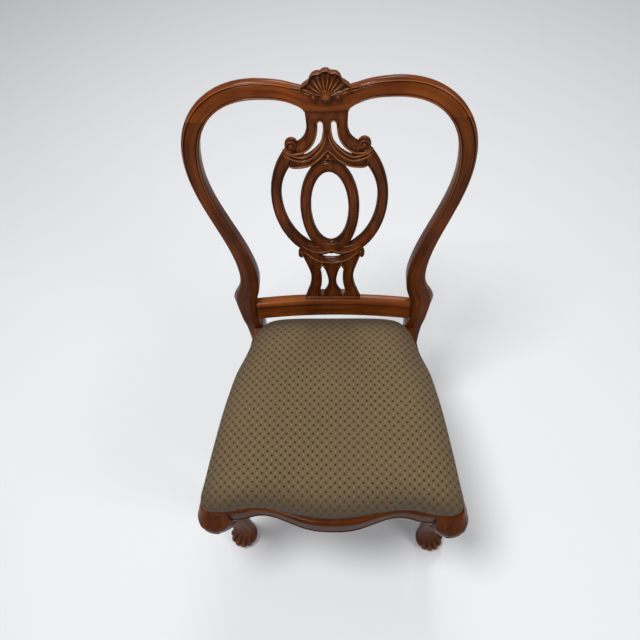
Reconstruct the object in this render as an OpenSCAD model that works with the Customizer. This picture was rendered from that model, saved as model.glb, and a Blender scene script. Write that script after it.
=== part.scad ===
// Dining side chair with a balloon back, a pierced splat and an upholstered serpentine seat.
// Sizes are in millimetres. X runs across the chair, +Y to its back and +Z up, and the origin is
// on the floor in the middle of the chair's length and width.

/* [Seat frame] */
// Height of the top of the seat rails
rail_top = 445; // [420:1:470]
// Height of the seat rails from edge to edge
rail_h = 53; // [46:1:58]
// Thickness of the front and side rails
rail_t = 22; // [18:1:25]
// Thickness of the rear rail
rear_rail_t = 20; // [18:1:22]
// Distance from the back posts' front faces to the front rail's face in the middle
seat_depth = 456; // [440:1:475]
// How far the serpentine front rail dips in at each side of its middle
serpentine = 28; // [18:1:32]
// Rise of the front rail's lower edge beside its middle
apron_rise = 15; // [6:1:20]
// Half the width over the side rails where they meet the front legs
seat_half = 258; // [252:1:264]
// Bow of the side rails out of straight
side_bow = 6.5; // [2:0.5:8]

/* [Back] */
// Lean of the back posts from upright, in degrees
back_rake = 12.06; // [9:0.1:15]
// Half the width over the ears, where the back is widest
ear_half = 268; // [260:1:275]
// Height of the ears above the rail tops
ear_rise = 435; // [420:1:450]
// Half the width over the waist of the back
waist_half = 203; // [198:1:208]
// Height of the waist above the rail tops
waist_rise = 160; // [150:1:170]
// Half the width over the shoulders at the foot of the back
shoulder_half = 223; // [216:1:228]
// Distance of each lobe's highest point from the middle
lobe_x = 118; // [110:1:126]
// Depth of the dip between the lobes
crest_dip = 23; // [18:1:27]
// Height of the joints between the posts and the crest above the rail tops
crest_joint_rise = 515; // [500:1:530]
// Height of the crest's two lobes above those joints
lobe_rise = 67; // [58:1:75]
// Height of the crest's lower edge at the splat above those joints
splat_joint_rise = 12; // [10:0.5:15]
// Width of the posts and the crest at the ears
member_w = 31.5; // [28:0.5:35]
// Width of the posts at the waist
waist_w = 40.5; // [36:0.5:46]
// Thickness of the posts and the crest from front to back
member_t = 26; // [24:0.5:30]
// Depth of the moulded quirk along the edges of the crest and the posts
quirk = 1.6; // [0.5:0.1:2.2]

/* [Lower back rail] */
// Height of the lower back rail's bottom edge above the rail tops
cross_rise = 28; // [24:1:32]
// Height of the lower back rail from edge to edge
cross_h = 46; // [42:1:50]
// Thickness of the lower back rail
cross_t = 22.5; // [20:0.5:24]
// Backward bow of the lower back rail in plan
cross_bow = 11; // [7:0.5:12]

/* [Splat] */
// Thickness of the splat's members
splat_t = 11; // [9:0.5:12]
// Setback of the splat's face from the crest's face at its top
splat_setback_top = 5; // [3:0.5:7]
// Setback of the splat's face from the posts' front line at its foot
splat_setback_foot = 20; // [18:0.5:21]
// Half the width over the splat's outer oval
oval_half = 114; // [108:0.5:118]
// Width of the outer oval's moulded band
oval_band = 22.5; // [18:0.5:24]
// Half the width over the inner ring
ring_half = 58.5; // [54:0.5:60]
// Width of the inner ring's moulded band
ring_band = 22; // [19:0.5:24]
// Radius of the scrolls under the splat's neck
scroll_r = 12.4; // [11:0.2:13]
// Radius of the small scrolls under the ovals
small_scroll_r = 8.6; // [7.5:0.2:9.4]
// Half the width over the splat's foot
foot_half = 62; // [58:0.5:66]
// Half the width of the splat's waist above its foot
fan_waist = 47; // [44:0.5:49]

/* [Shell] */
// Radius of the carved shell from its palmette to its rim
shell_r = 43; // [38:0.5:46]
// Number of the shell's lobes
shell_lobes = 9; // [7:2:11]
// How far the shell stands proud of the crest's face
shell_proud = 6; // [4:0.5:8]
// Depth of the shell behind the crest's face
shell_back = 16; // [12:0.5:20]

/* [Legs] */
// Distance of each front foot's middle from the middle of the chair
front_foot_x = 246; // [240:1:250]
// Radius of the front feet
front_foot_r = 34.5; // [31:0.5:37]
// Radius of the front legs at the knee
knee_r = 38.5; // [36:0.5:40]
// Radius of the front legs at the ankle
ankle_r = 17; // [15:0.5:20]
// Number of grooves between the toes of each front foot
toe_grooves = 6; // [4:1:8]
// Length of the knee blocks along the rails
knee_block_l = 42; // [34:1:48]
// Height of the knee blocks beside the legs
knee_block_h = 36; // [28:1:42]
// Half the distance over the rear feet
rear_foot_half = 212; // [206:1:218]
// Size of the square rear feet
rear_foot = 30; // [26:1:34]
// How far the rear feet rake back from the posts' front faces
rear_rake = 77; // [60:1:90]
// Diameter of the glides under the feet
glide_d = 22; // [18:1:26]
// Thickness of the glides
glide_t = 3; // [2:0.5:5]

/* [Upholstery] */
// Height of the seat's crown above the rail tops
crown = 43; // [36:1:50]
// Thickness of the plywood seat board
board_t = 12; // [10:1:15]
// Thickness of the fabric cover
fabric_t = 1.4; // [1:0.1:1.8]
// Overhang of the cover past the side rails
overhang = 4; // [2:0.5:6]

/* [Joinery] */
// Diameter of the seat frame's dowels
dowel_d = 9; // [7:0.5:10]
// Diameter of the back's dowels
back_dowel_d = 7; // [5:0.5:7]
// Depth of each dowel in each piece
dowel_in = 16; // [12:0.5:18]
// Thickness of the tenons at the ends of the splat
tenon_t = 6; // [5:0.5:7]
// Length of the tenons at the ends of the splat
tenon_l = 13; // [8:0.5:15]
// Length of the corner blocks along the rails
block_leg = 72; // [66:1:78]
// Thickness of the corner blocks
block_t = 24; // [20:1:28]
// Diameter of the screws' shanks
screw_d = 4; // [3:0.1:5]
// Clearance between glued faces and around pins
fit = 0.15; // [0.1:0.01:0.2]

/* [Hidden] */

$fn = 48;

wood = [0.42, 0.20, 0.09];
wood_dark = [0.30, 0.14, 0.07];
block_wood = [0.72, 0.58, 0.40];
olive = [0.49, 0.42, 0.30];
steel = [0.70, 0.70, 0.72];

// Heights of the back's main points
rail_bottom = rail_top - rail_h;
ear_z = rail_top + ear_rise;
waist_z = rail_top + waist_rise;
crest_joint_z = rail_top + crest_joint_rise;
lobe_z = crest_joint_z + lobe_rise;
splat_joint_z = crest_joint_z + splat_joint_rise;
cross_bottom = rail_top + cross_rise;
cross_top = cross_bottom + cross_h;
shoulder_z = cross_top + 11;
shell_z = lobe_z - 28;

// The front faces of the posts in the seat frame, and the plane that the back leans in
post_y = 189;
rake = tan(back_rake);
function back_y(z) = post_y + rake * (z - rail_top);

// The box of the chair, from the front of the knees to the back of the crest
knee_x = seat_half - 18;
knee_y = post_y - seat_depth + 34;
front_most = knee_y - knee_r;
full_back = 0.58;
rear_most = back_y(lerp(lobe_z - member_w - 1, lobe_z, full_back)) + member_t;
mid_y = (front_most + rear_most) / 2;

function lerp(a, b, t) = a + (b - a) * t;
function ease(u) = u <= 0 ? 0 : u >= 1 ? 1 : u * u * (3 - 2 * u);

// Smooth curve through a list of points of any dimension, with n steps between neighbours
function cubic(a, b, c, d, t) = 0.5 * (2 * b + (c - a) * t + (2 * a - 5 * b + 4 * c - d) * t * t
    + (3 * b - a - 3 * c + d) * t * t * t);
function curve(p, n) = concat([for (i = [0:len(p) - 2]) for (j = [0:n - 1])
    let (a = i == 0 ? 2 * p[0] - p[1] : p[i - 1],
         d = i == len(p) - 2 ? 2 * p[i + 1] - p[i] : p[i + 2])
    cubic(a, p[i], p[i + 1], d, j / n)], [p[len(p) - 1]]);

// Value at x on the smooth curve through the rows [x, value] of a table
function row_of(t, x, i = 0) = i >= len(t) - 2 || x <= t[i + 1][0] ? i : row_of(t, x, i + 1);
function slope_at(t, i) = let (a = t[max(i - 1, 0)], b = t[min(i + 1, len(t) - 1)])
    (b[1] - a[1]) / (b[0] - a[0]);
function flow(t, x) = let (i = row_of(t, x), a = t[i], b = t[i + 1], w = b[0] - a[0],
    u = (x - a[0]) / w, v = 1 - u)
    a[1] * (1 + 2 * u) * v * v + b[1] * (1 + 2 * v) * u * u
    + (slope_at(t, i) * v - slope_at(t, i + 1) * u) * w * u * v;

// A solid through a list of rings with the same number of points; closed loops back to the first.
// Its faces are turned to look outward whichever way its rings run.
module loft(rings, closed = false) {
    n = len(rings[0]);
    m = len(rings);
    points = [for (r = rings) for (p = r) p];
    sides = [for (i = [0:(closed ? m - 1 : m - 2)]) for (j = [0:n - 1])
        let (a = i * n + j, b = i * n + (j + 1) % n, c = ((i + 1) % m) * n + (j + 1) % n,
             d = ((i + 1) % m) * n + j)
        each [[a, b, c], [a, c, d]]];
    caps = closed ? [] : [[for (j = [n - 1:-1:0]) j], [for (j = [0:n - 1]) (m - 1) * n + j]];
    faces = concat(sides, caps);
    parts = [for (f = faces) for (k = [1:len(f) - 2])
        points[f[0]] * cross(points[f[k]], points[f[k + 1]])];
    outward = parts * [for (p = parts) 1] < 0;
    polyhedron(points, outward ? faces : [for (f = faces) [for (k = [len(f) - 1:-1:0]) f[k]]],
        convexity = 8);
}

// Half-widths of the back at a height, on the posts' outer and inner edges
arc_bulge_out = 2.15;
arc_bulge_in = 2.4;
inner_lobe_x = lobe_x - 6;
inner_ear = ear_half - member_w;
inner_ear_z = ear_z - 18;
inner_lobe_z = lobe_z - member_w - 1;
outer_low = [[0, rear_foot_half], [rail_bottom - 12, waist_half + 3], [rail_top + 6, waist_half + 5.5],
    [shoulder_z - 50, waist_half + 13], [shoulder_z, shoulder_half], [shoulder_z + 18, shoulder_half - 4],
    [shoulder_z + 35, waist_half + 8.5], [shoulder_z + 55, waist_half + 2.5], [waist_z, waist_half],
    [waist_z + 15, waist_half]];
post_in = waist_half - 33;
cross_half = post_in + 7;
inner_waist = waist_half - waist_w;
inner_low = [[0, rear_foot_half - rear_foot], [rail_bottom - 12, post_in], [rail_top + 6, post_in],
    [cross_bottom - 4, cross_half], [cross_top + 4, cross_half], [cross_top + 22, inner_waist + 9],
    [cross_top + 42, inner_waist + 3], [waist_z - 15, inner_waist], [waist_z, inner_waist]];
function outer_x(z) = z < waist_z ? flow(outer_low, z)
    : z < ear_z ? lerp(waist_half, ear_half, ease((z - waist_z) / (ear_z - waist_z)))
    : lobe_x + (ear_half - lobe_x)
        * pow(1 - pow((z - ear_z) / (lobe_z - ear_z), arc_bulge_out), 1 / arc_bulge_out);
function inner_x(z) = z < waist_z - 15 ? flow(inner_low, z)
    : z < inner_ear_z ? lerp(inner_waist, inner_ear,
        ease((z - waist_z + 15) / (inner_ear_z - waist_z + 15)))
    : inner_lobe_x + (inner_ear - inner_lobe_x)
        * pow(1 - pow((z - inner_ear_z) / (inner_lobe_z - inner_ear_z), arc_bulge_in), 1 / arc_bulge_in);

// Front and back faces of the posts at a height
front_low = [[0, post_y + rear_rake], [100, post_y + 0.60 * rear_rake],
    [200, post_y + 0.27 * rear_rake], [300, post_y + 0.06 * rear_rake], [rail_bottom - 12, post_y],
    [rail_top + 6, post_y], [rail_top + 45, back_y(rail_top + 45)], [rail_top + 75, back_y(rail_top + 75)]];
blend_z = waist_z + 75;
back_low = [[0, post_y + rear_rake + rear_foot], [100, post_y + 0.60 * rear_rake + rear_foot + 5],
    [200, post_y + 0.27 * rear_rake + rear_foot + 12], [300, post_y + 0.06 * rear_rake + 45],
    [rail_bottom - 12, post_y + 46], [rail_top, post_y + 47], [shoulder_z, post_y + 57],
    [shoulder_z + 40, post_y + 61.5], [waist_z + 30, post_y + 67.5],
    [blend_z, back_y(blend_z) + member_t], [blend_z + 30, back_y(blend_z + 30) + member_t]];
function post_front(z) = z > rail_top + 50 ? back_y(z) : flow(front_low, z);
function post_back(z) = z > blend_z ? back_y(z) + member_t : flow(back_low, z);

// The moulded section of the posts and the crest: [place across from the inner edge, setback of
// the front, share of the quirk], then round the back as [place, share of the depth, share of
// the flare]
face_rows = [[0, 6.5, 0], [0.035, 2.2, 0], [0.10, 0.3, 0], [0.16, 0, 1], [0.22, 0, 0],
    [0.78, 0, 0], [0.84, 0, 1], [0.90, 0.3, 0], [0.965, 2.2, 0], [1, 6.5, 0]];
back_rows = [[1, 0.3, 0.7], [0.94, 0.5, 1], [0.83, 0.7, 0.8], [0.73, 0.86, 0.5], [full_back, 1, 0],
    [0.1, 1, 0], [0, 0.77, 0]];
function member_ring(inner, outer, front, deep, cut, flare) = concat(
    [for (f = face_rows) concat(lerp(inner, outer, f[0]), [front + f[1] + cut * f[2]])],
    [for (b = back_rows) concat(lerp(inner, outer, b[0]) + [flare * b[2], 0], [front + deep * b[1]])]);

// How much of the moulding shows at a height of the posts
function mould_share(z) = ease((z - waist_z - 80) / 180);
function hip_flare(z) = 7 * ease(1 - abs(z - shoulder_z) / 68);

module rear_post() {
    levels = concat([glide_t], [for (k = [1:5]) k * (rail_bottom - 12) / 5], [rail_bottom, rail_top + 6],
        [for (k = [1:2]) lerp(rail_top + 6, cross_bottom - 4, k / 2)],
        [for (k = [1:9]) lerp(cross_bottom - 4, waist_z, k / 9)],
        [for (k = [1:13]) lerp(waist_z, crest_joint_z - fit, k / 13)]);
    rings = [for (z = levels) [for (p = member_ring([inner_x(z), z], [outer_x(z), z], post_front(z),
        post_back(z) - post_front(z), quirk * mould_share(z), hip_flare(z))) [p[0], p[2], p[1]]]];
    color(wood) difference() {
        loft(rings);
        crest_pins(fit);
        cross_pins(fit);
        rear_rail_pins(fit);
        side_rail_pins(fit);
        glide_nail(rear_foot_half - rear_foot / 2, post_y + rear_rake + rear_foot / 2, fit);
    }
}

// Edges of the crest's right half, as pairs of points from the post's joint to the middle
function round_edge(cx, cz, a, b, n, z0, steps) = let (start = asin(pow((z0 - cz) / b, n / 2)))
    [for (k = [0:steps]) let (w = lerp(start, 90, k / steps))
        [cx + a * pow(max(cos(w), 0), 2 / n), cz + b * pow(sin(w), 2 / n)]];
arc_steps = 9;
crest_outer_arc = round_edge(lobe_x, ear_z, ear_half - lobe_x, lobe_z - ear_z, arc_bulge_out,
    crest_joint_z, arc_steps);
crest_inner_arc = round_edge(inner_lobe_x, inner_ear_z, inner_ear - inner_lobe_x,
    inner_lobe_z - inner_ear_z, arc_bulge_in, crest_joint_z, arc_steps);
neck_half = 38.4;
dip_z = lobe_z - crest_dip;
crest_rows = [[lobe_x, lobe_z, inner_lobe_x, inner_lobe_z],
    [96, lobe_z - 1.5, 90, inner_lobe_z - 0.8],
    [74, lobe_z - 4.5, 69, inner_lobe_z - 4.5],
    [57, lerp(lobe_z, dip_z, 0.38), 51, inner_lobe_z - 11.5],
    [44, lerp(lobe_z, dip_z, 0.52), 41.5, splat_joint_z + 5],
    [39, lerp(lobe_z, dip_z, 0.58), neck_half, splat_joint_z]];
crest_bend = curve(crest_rows, 2);
crest_middle = [for (k = [1:3]) let (u = 1 - k / 3)
    [39 * u, lerp(dip_z, lerp(lobe_z, dip_z, 0.58), u * u), neck_half * u, splat_joint_z]];
crest_half = concat([for (k = [0:arc_steps - 1]) concat(crest_outer_arc[k], crest_inner_arc[k])],
    crest_bend, crest_middle);
crest_path = concat([for (k = [0:len(crest_half) - 1]) crest_half[k]],
    [for (k = [len(crest_half) - 2:-1:0]) let (c = crest_half[k]) [-c[0], c[1], -c[2], c[3]]]);

// The crest's solid, grown by a clearance where the shell is cut to fit it
module crest_solid(grow = 0) {
    rings = [for (c = crest_path) let (share = ease((abs(c[0]) - 44) / 30),
        inner = [c[2], c[3]], outer = [c[0], c[1]], step = (outer - inner) / norm(outer - inner) * grow)
        [for (p = member_ring(inner - step, outer + step, -grow, member_t + 2 * grow, quirk * share, 0))
            [p[0], back_y(p[1]) + p[2], p[1]]]];
    loft(rings);
}

module crest_rail() {
    color(wood) difference() {
        crest_solid();
        crest_pins(fit);
        mirror([1, 0, 0]) crest_pins(fit);
        splat_tongue(splat_joint_z - 5, splat_joint_z + tenon_l + 1, top_tenon_half, fit);
    }
}

// Dowels between a post and the crest, along the member's own direction
joint_in = inner_x(crest_joint_z);
joint_w = outer_x(crest_joint_z) - joint_in;
joint_lean = 30;
module crest_pins(extra) {
    for (s = [0.27, 0.73])
        translate([joint_in + s * joint_w, back_y(crest_joint_z) + member_t / 2, crest_joint_z])
            rotate([-back_rake, -joint_lean, 0])
                cylinder(d = back_dowel_d + 2 * extra, h = 2 * (dowel_in - 1 + extra), center = true);
}

// Lower back rail, turned on a large radius so that it bows back in plan, with a bead along its
// face. The radius grows with height as the back leans.
bow_r = (pow(cross_half, 2) + pow(cross_bow, 2)) / (2 * cross_bow);
bow_setback = 1.5;
bow_y = back_y(cross_bottom + cross_h / 2) + bow_setback + cross_bow - bow_r;
module lower_back_rail() {
    face = [[0, 4], [1.2, 1.2], [4, 0], [cross_h - 15, 0], [cross_h - 13.5, 1.3], [cross_h - 11.5, 0],
        [cross_h - 8, -0.8], [cross_h - 4, 0.2], [cross_h - 1, 2.6], [cross_h, 6]];
    back = [[cross_h, 4], [cross_h - 4, 0], [4, 0], [0, 4]];
    sweep = asin(cross_half / bow_r) + 1;
    color(wood) difference() {
        intersection() {
            translate([0, bow_y, 0]) rotate([0, 0, 90 - sweep]) rotate_extrude(angle = 2 * sweep, $fn = 360)
                polygon(concat(
                    [for (f = face) let (z = cross_bottom + f[0])
                        [back_y(z) + bow_setback + cross_bow - bow_y + f[1], z]],
                    [for (b = back) let (z = cross_bottom + b[0])
                        [back_y(z) + bow_setback + cross_bow - bow_y + cross_t - b[1], z]]));
            translate([fit - cross_half, 0, cross_bottom - 1])
                cube([2 * (cross_half - fit), 2 * post_y, cross_h + 2]);
        }
        cross_pins(fit);
        mirror([1, 0, 0]) cross_pins(fit);
        splat_tongue(cross_top - tenon_l - 1, cross_top + 5, foot_tenon_half, fit);
    }
}

module cross_pins(extra) {
    for (s = [0.28, 0.72]) let (z = cross_bottom + s * cross_h)
        translate([cross_half, back_y(z) + cross_t / 2 + 2, z]) rotate([0, 90, 0])
            cylinder(d = back_dowel_d + 2 * extra, h = 2 * (dowel_in + extra), center = true);
}

// Face of the splat at a height: nearly the back's plane, a little more upright
function splat_y(z) = lerp(back_y(cross_top) + splat_setback_foot,
    back_y(splat_joint_z) + splat_setback_top, (z - cross_top) / (splat_joint_z - cross_top));

// The tenons at the splat's ends, and the mortises for them, between two heights
top_tenon_half = 29;
foot_tenon_half = 40;
module splat_tongue(z0, z1, half, extra) {
    loft([for (z = [z0, z1]) let (y = splat_y(z) + (splat_t - tenon_t) / 2)
        [[-half - extra, y - extra, z], [-half - extra, y + tenon_t + extra, z],
         [half + extra, y + tenon_t + extra, z], [half + extra, y - extra, z]]]);
}

// A carved member between two edges, given as rows of [x, height, x, height]. Its face has rows of
// [place across, height of the carving], and its back is bevelled.
round_face = [[0, -4], [0.12, -0.4], [0.5, 1.1], [0.88, -0.4], [1, -4]];
beaded_face = [[0, -3.5], [0.08, 0.3], [0.2, -0.7], [0.33, 0.8], [0.46, -0.7], [0.62, 0.5], [0.9, -0.2],
    [1, -3.5]];
plain_face = [[0, 0.4], [1, 0.4]];
splat_back = [[1, 0.6], [0.88, 1], [0.12, 1], [0, 0.6]];
module band(pairs, face = round_face, lift = 0, closed = false) {
    rings = [for (e = pairs) let (a = [e[0], e[1]], b = [e[2], e[3]]) concat(
        [for (f = face) let (p = lerp(a, b, f[0])) [p[0], splat_y(p[1]) - f[1] - lift, p[1]]],
        [for (f = splat_back) let (p = lerp(a, b, f[0])) [p[0], splat_y(p[1]) + splat_t * f[1], p[1]]])];
    loft(rings, closed);
}
// The same member made whole by its mirror image, from a half that starts at the middle
function whole(half) = concat([for (k = [len(half) - 1:-1:1]) let (c = half[k]) [-c[0], c[1], -c[2], c[3]]],
    half);

// A point of an upright oval with its own reach up and down
function oval(middle, half, up, down, w) = [half * cos(w), middle + (w < 0 ? down : up) * sin(w)];

// The splat's pattern is drawn at one height, and stretches to fill the space between the lower
// back rail and the crest. Its heights are counted from its foot or down from its top.
splat_top = splat_joint_z - fit;
splat_foot = cross_top + fit;
drawn_h = 452.7;
stretch = (splat_top - splat_foot) / drawn_h;
function from_foot(h) = splat_foot + h * stretch;
function from_top(h) = splat_top - h * stretch;
scroll_at = [66, from_top(66)];
small_scroll_at = [62.2, from_foot(134.5)];

// A scroll: a disc with a spiral ridge on its face, made of beads that each join the next
module scroll_end(at, r, start) {
    scroll_disc(at, r, splat_t - 1);
    steps = 4;
    for (k = [0:steps - 1]) hull() {
        scroll_bead(at, r, start, k / steps);
        scroll_bead(at, r, start, (k + 1) / steps);
    }
    scroll_disc(at, r * 0.3, splat_t + 2.5);
}
module scroll_disc(at, r, h) {
    translate([at[0], splat_y(at[1]) + splat_t * 0.8, at[1]]) rotate([90, 0, 0])
        cylinder(r1 = r, r2 = r * 0.9, h = h - splat_t * 0.2, $fn = 18);
}
module scroll_bead(at, r, start, u) {
    w = start + 300 * u;
    d = r * lerp(0.78, 0.42, u);
    x = at[0] + d * cos(w);
    z = at[1] + d * sin(w);
    translate([x, splat_y(z) + 4, z]) rotate([90, 0, 0])
        cylinder(r1 = r * 0.26, r2 = r * 0.12, h = 7, $fn = 6);
}

module splat_half() {
    neck = curve([[neck_half, splat_top, 17, splat_top],
        [37.2, from_top(11), 17, from_top(16)],
        [36.6, from_top(29), 17, from_top(36)],
        [38.3, from_top(39), 19.6, from_top(50)],
        [43.3, from_top(50), 26, from_top(64)],
        [52, from_top(58), 36, from_top(75)],
        [63, from_top(64), 50, from_top(82)]], 2);
    band(neck);
    scroll_end(scroll_at, scroll_r, 120);
    yoke = [[7.6, splat_top, -1, splat_top],
        [7.6, from_top(26), -1, from_top(30)],
        [7.8, from_top(42), -1, from_top(50)],
        [10.4, from_top(55.5), -1, from_top(65)],
        [14, from_top(63), 0, from_top(78)],
        [19.5, from_top(70), 8, from_top(85)],
        [27.5, from_top(77.5), 18, from_top(95.5)],
        [36, from_top(83.5), 28, from_top(103.5)],
        [44, from_top(86.3), 39, from_top(109)],
        [52, from_top(80), 51, from_top(111.5)],
        [64, from_top(72), 65, from_top(112)],
        [81, from_top(75), 77, from_top(111.8)]];
    band(yoke, beaded_face, 0.6);
    bar = curve([[small_scroll_at[0], from_foot(126), 20, from_foot(126)],
        [52.9, from_foot(97), 20.5, from_foot(97)],
        [fan_waist + 2.6, from_foot(86), 24.9, from_foot(87)],
        [fan_waist + 0.2, from_foot(73), 23.5, from_foot(75)],
        [fan_waist + 0.4, from_foot(58), 23, from_foot(56)],
        [fan_waist + 3.9, from_foot(40), 24.3, from_foot(41)],
        [foot_half - 5.2, from_foot(26), 27, from_foot(27)],
        [foot_half + 0.6, from_foot(15), 27.4, from_foot(17.5)],
        [foot_half, splat_foot, 27.4, splat_foot]], 2);
    band(bar);
    band([[29.3, from_foot(17.6), 18.2, from_foot(17.6)], [29.3, splat_foot, 18.2, splat_foot]], plain_face);
    scroll_end(small_scroll_at, small_scroll_r, 60);
}

// The outer oval runs under the inner ring from one shoulder to the other. Its inner edge is an
// oval of its own, and its outer edge turns up into a brace over the cradle.
oval_z = from_foot(273);
oval_up = 148 * stretch;
oval_down = 154 * stretch;
oval_inner_z = from_foot(279);
oval_inner_up = 103 * stretch;
oval_inner_down = 130 * stretch;
brace = [[0, 137.5, 0, 149], [9, 133, 8, 149.5], [18, 130.6, 16, 151], [30, 130.1, 25, 154],
    [42, 132.8, 34, 158.3], [54, 138.6, 43, 163.9], [66, 147.4, 51, 170.8]];
module outer_oval() {
    steps = 12;
    side = [for (k = [0:steps]) concat(
        oval(oval_z, oval_half, oval_up, oval_down, lerp(-50, 50, k / steps)),
        oval(oval_inner_z, oval_half - oval_band + 1, oval_inner_up, oval_inner_down,
            lerp(-51, 41, k / steps)))];
    band(whole(concat([for (b = brace) [b[0], from_foot(b[1]), b[2], from_foot(b[3])]], side)));
}
ring_z = from_foot(252);
ring_up = 105.5 * stretch;
ring_down = 118 * stretch;
hole_z = from_foot(250.6);
hole_up = 82 * stretch;
module inner_ring() {
    band([for (k = [0:27]) let (w = 180 - k * 360 / 28) concat(
        oval(ring_z, ring_half, ring_up, ring_down, w),
        oval(hole_z, ring_half - ring_band, hole_up, hole_up, w))], round_face, 1.1, true);
}

module back_splat() {
    centre_bar = curve([[20.6, from_foot(108)], [20.6, from_foot(97)], [16.2, from_foot(87)],
        [12.4, from_foot(75)], [9.3, from_foot(58)], [9.4, from_foot(44)], [13.6, from_foot(30)],
        [20.4, from_foot(17.4)], [20.6, splat_foot]], 2);
    cradle = [[0, from_foot(119.3), 0, from_foot(104.5)], [10, from_foot(119.6), 9.5, from_foot(105)],
        [19, from_foot(122.3), 18, from_foot(106.6)], [30, from_foot(131), 27, from_foot(109.8)],
        [43, from_foot(140), 39, from_foot(116)], [54, from_foot(148), 50, from_foot(124.5)],
        [66, from_foot(158), 60, from_foot(136)]];
    yoke_ground = [[0, from_top(72), 0, from_top(102)], [14, from_top(80), 14, from_top(104)],
        [26, from_top(97), 26, from_top(109)], [33, from_top(104), 32, from_top(113)]];
    color(wood) {
        outer_oval();
        inner_ring();
        splat_half();
        mirror([1, 0, 0]) splat_half();
        band(whole([[0, splat_top, 0, from_top(24)], [18.5, splat_top, 18.5, from_top(26)]]));
        band(whole(yoke_ground), round_face, -2.5);
        band([for (p = centre_bar) [-p[0], p[1], p[0], p[1]]]);
        band(whole(cradle), beaded_face, 0.9);
        band([for (x = [-foot_half, foot_half]) [x, from_foot(5), x, splat_foot]], round_face, 1.2);
        splat_tongue(splat_top - 8, splat_top + tenon_l, top_tenon_half, 0);
        splat_tongue(splat_foot - tenon_l, splat_foot + 8, foot_tenon_half, 0);
    }
}

// Carved shell: a fan of hollowed lobes with a thick scalloped rim
module crest_shell() {
    color(wood_dark) difference() {
        union() {
            shell_fan();
            for (side = [-1, 1]) for (k = [0:2]) hull() {
                shell_curl(side, k / 3);
                shell_curl(side, (k + 1) / 3);
            }
            for (w = [30, 90, 150]) hull() {
                shell_bead(0, 0, 5.5);
                shell_bead(6 * cos(w), -5 * sin(w), 3.2);
            }
        }
        crest_solid(fit);
    }
}
// A point on the plane of the back, n behind it
function on_back(x, n, z) = [x, back_y(z) + n, z];
module shell_bead(x, z, r) {
    translate(on_back(x, 2.5 - shell_proud, shell_z + z)) scale([1, 0.7, 1]) sphere(r = r, $fn = 8);
}
module shell_curl(side, u) {
    w = 200 + 300 * u;
    d = 5.5 - 4 * u;
    translate(on_back(side * (20 - d * cos(w)), 1, shell_z + 3 + d * sin(w)))
        rotate([90, 0, 0]) cylinder(r = lerp(3.2, 2.2, u), h = shell_proud, $fn = 8);
}
// Each row of the fan is [share of the radius, place in front of or behind the crest's face]
module shell_fan() {
    steps = shell_lobes * 3;
    rings = [for (k = [0:steps]) let (u = k / steps, w = lerp(18, 162, u),
        wave = abs(sin(180 * shell_lobes * u)), hollow = 2.4 * wave,
        rim = shell_r * (0.93 + 0.05 * pow(wave, 0.6) - 0.06 * pow(sin(2 * w), 2)))
        [for (f = [[0.06, -4.5], [0.3, 0.3 * hollow - 3.2], [0.6, 0.8 * hollow - 2.6], [0.86, hollow - 3.6],
            [0.95, 0.4 - shell_proud], [1, 3 - shell_proud], [0.98, shell_back - 6], [0.88, shell_back],
            [0.06, shell_back]])
            on_back(rim * f[0] * cos(w), f[1], shell_z + rim * f[0] * sin(w))]];
    loft(rings);
}

// Plan of the front rail's face, and the height of its lower edge
front_y = post_y - seat_depth;
leg_face_x = knee_x - 30;
leg_face_y = knee_y + 35;
face_plan = [[0, front_y], [30, front_y + 0.05 * serpentine], [60, front_y + 0.25 * serpentine],
    [86, front_y + 0.54 * serpentine], [116, front_y + 0.86 * serpentine],
    [140, front_y + serpentine], [160, front_y + 0.98 * serpentine],
    [185, front_y + 0.80 * serpentine], [leg_face_x, front_y + 0.72 * serpentine]];
under_plan = [[0, 0], [45, 0.04], [80, 0.4], [110, 0.9], [132, 1], [152, 0.72], [170, 0.3], [leg_face_x, 0.27]];
function face_y(x) = flow(face_plan, abs(x));
function under_z(x) = rail_bottom - 4 + apron_rise * flow(under_plan, abs(x));

module front_seat_rail() {
    reach = leg_face_x - fit;
    rings = [for (k = [-20:20]) let (x = reach * k / 20, y = face_y(x), z = under_z(x)) [
        [x, y + 5, z], [x, y + 1, z + 1.2], [x, y + 0.2, z + 4], [x, y + 1.4, z + 6.5], [x, y + 1, z + 9],
        [x, y + 1.8, rail_top - 9], [x, y + 2.2, rail_top - 5], [x, y + 3.4, rail_top - 1.5],
        [x, y + 6, rail_top], [x, y + rail_t, rail_top], [x, y + rail_t, z]]];
    color(wood) difference() {
        loft(rings);
        front_rail_pins(fit);
        mirror([1, 0, 0]) front_rail_pins(fit);
        front_block_screws(fit);
        mirror([1, 0, 0]) front_block_screws(fit);
    }
}

module front_rail_pins(extra) {
    for (s = [0.3, 0.7])
        translate([leg_face_x, face_y(leg_face_x) + rail_t / 2 + 1, lerp(rail_bottom, rail_top, s)])
            rotate([0, 90, 0]) cylinder(d = dowel_d + 2 * extra, h = 2 * (dowel_in + extra), center = true);
}

// Side rails: outer face in plan from the post to the front leg
side_end = post_in + 21;
bow_shares = [[0, 0], [0.1, -0.55], [0.23, -0.45], [0.36, 0.55], [0.49, 0.95], [0.62, 1], [0.75, 0.75],
    [0.875, 0.45], [1, 0]];
function side_x(y) = let (u = (post_y - y) / (post_y - leg_face_y))
    lerp(side_end, seat_half, u) + side_bow * flow(bow_shares, u);
module side_rail() {
    ys = [for (k = [0:16]) lerp(leg_face_y + fit, post_y - fit, k / 16)];
    plan = concat([for (y = ys) [side_x(y), y]], [for (k = [16:-1:0]) [side_x(ys[k]) - rail_t, ys[k]]]);
    color(wood) difference() {
        translate([0, 0, rail_bottom]) linear_extrude(rail_h) polygon(plan);
        side_rail_pins(fit);
        rear_block_screws(fit);
        front_block_screws(fit);
    }
}

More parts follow.
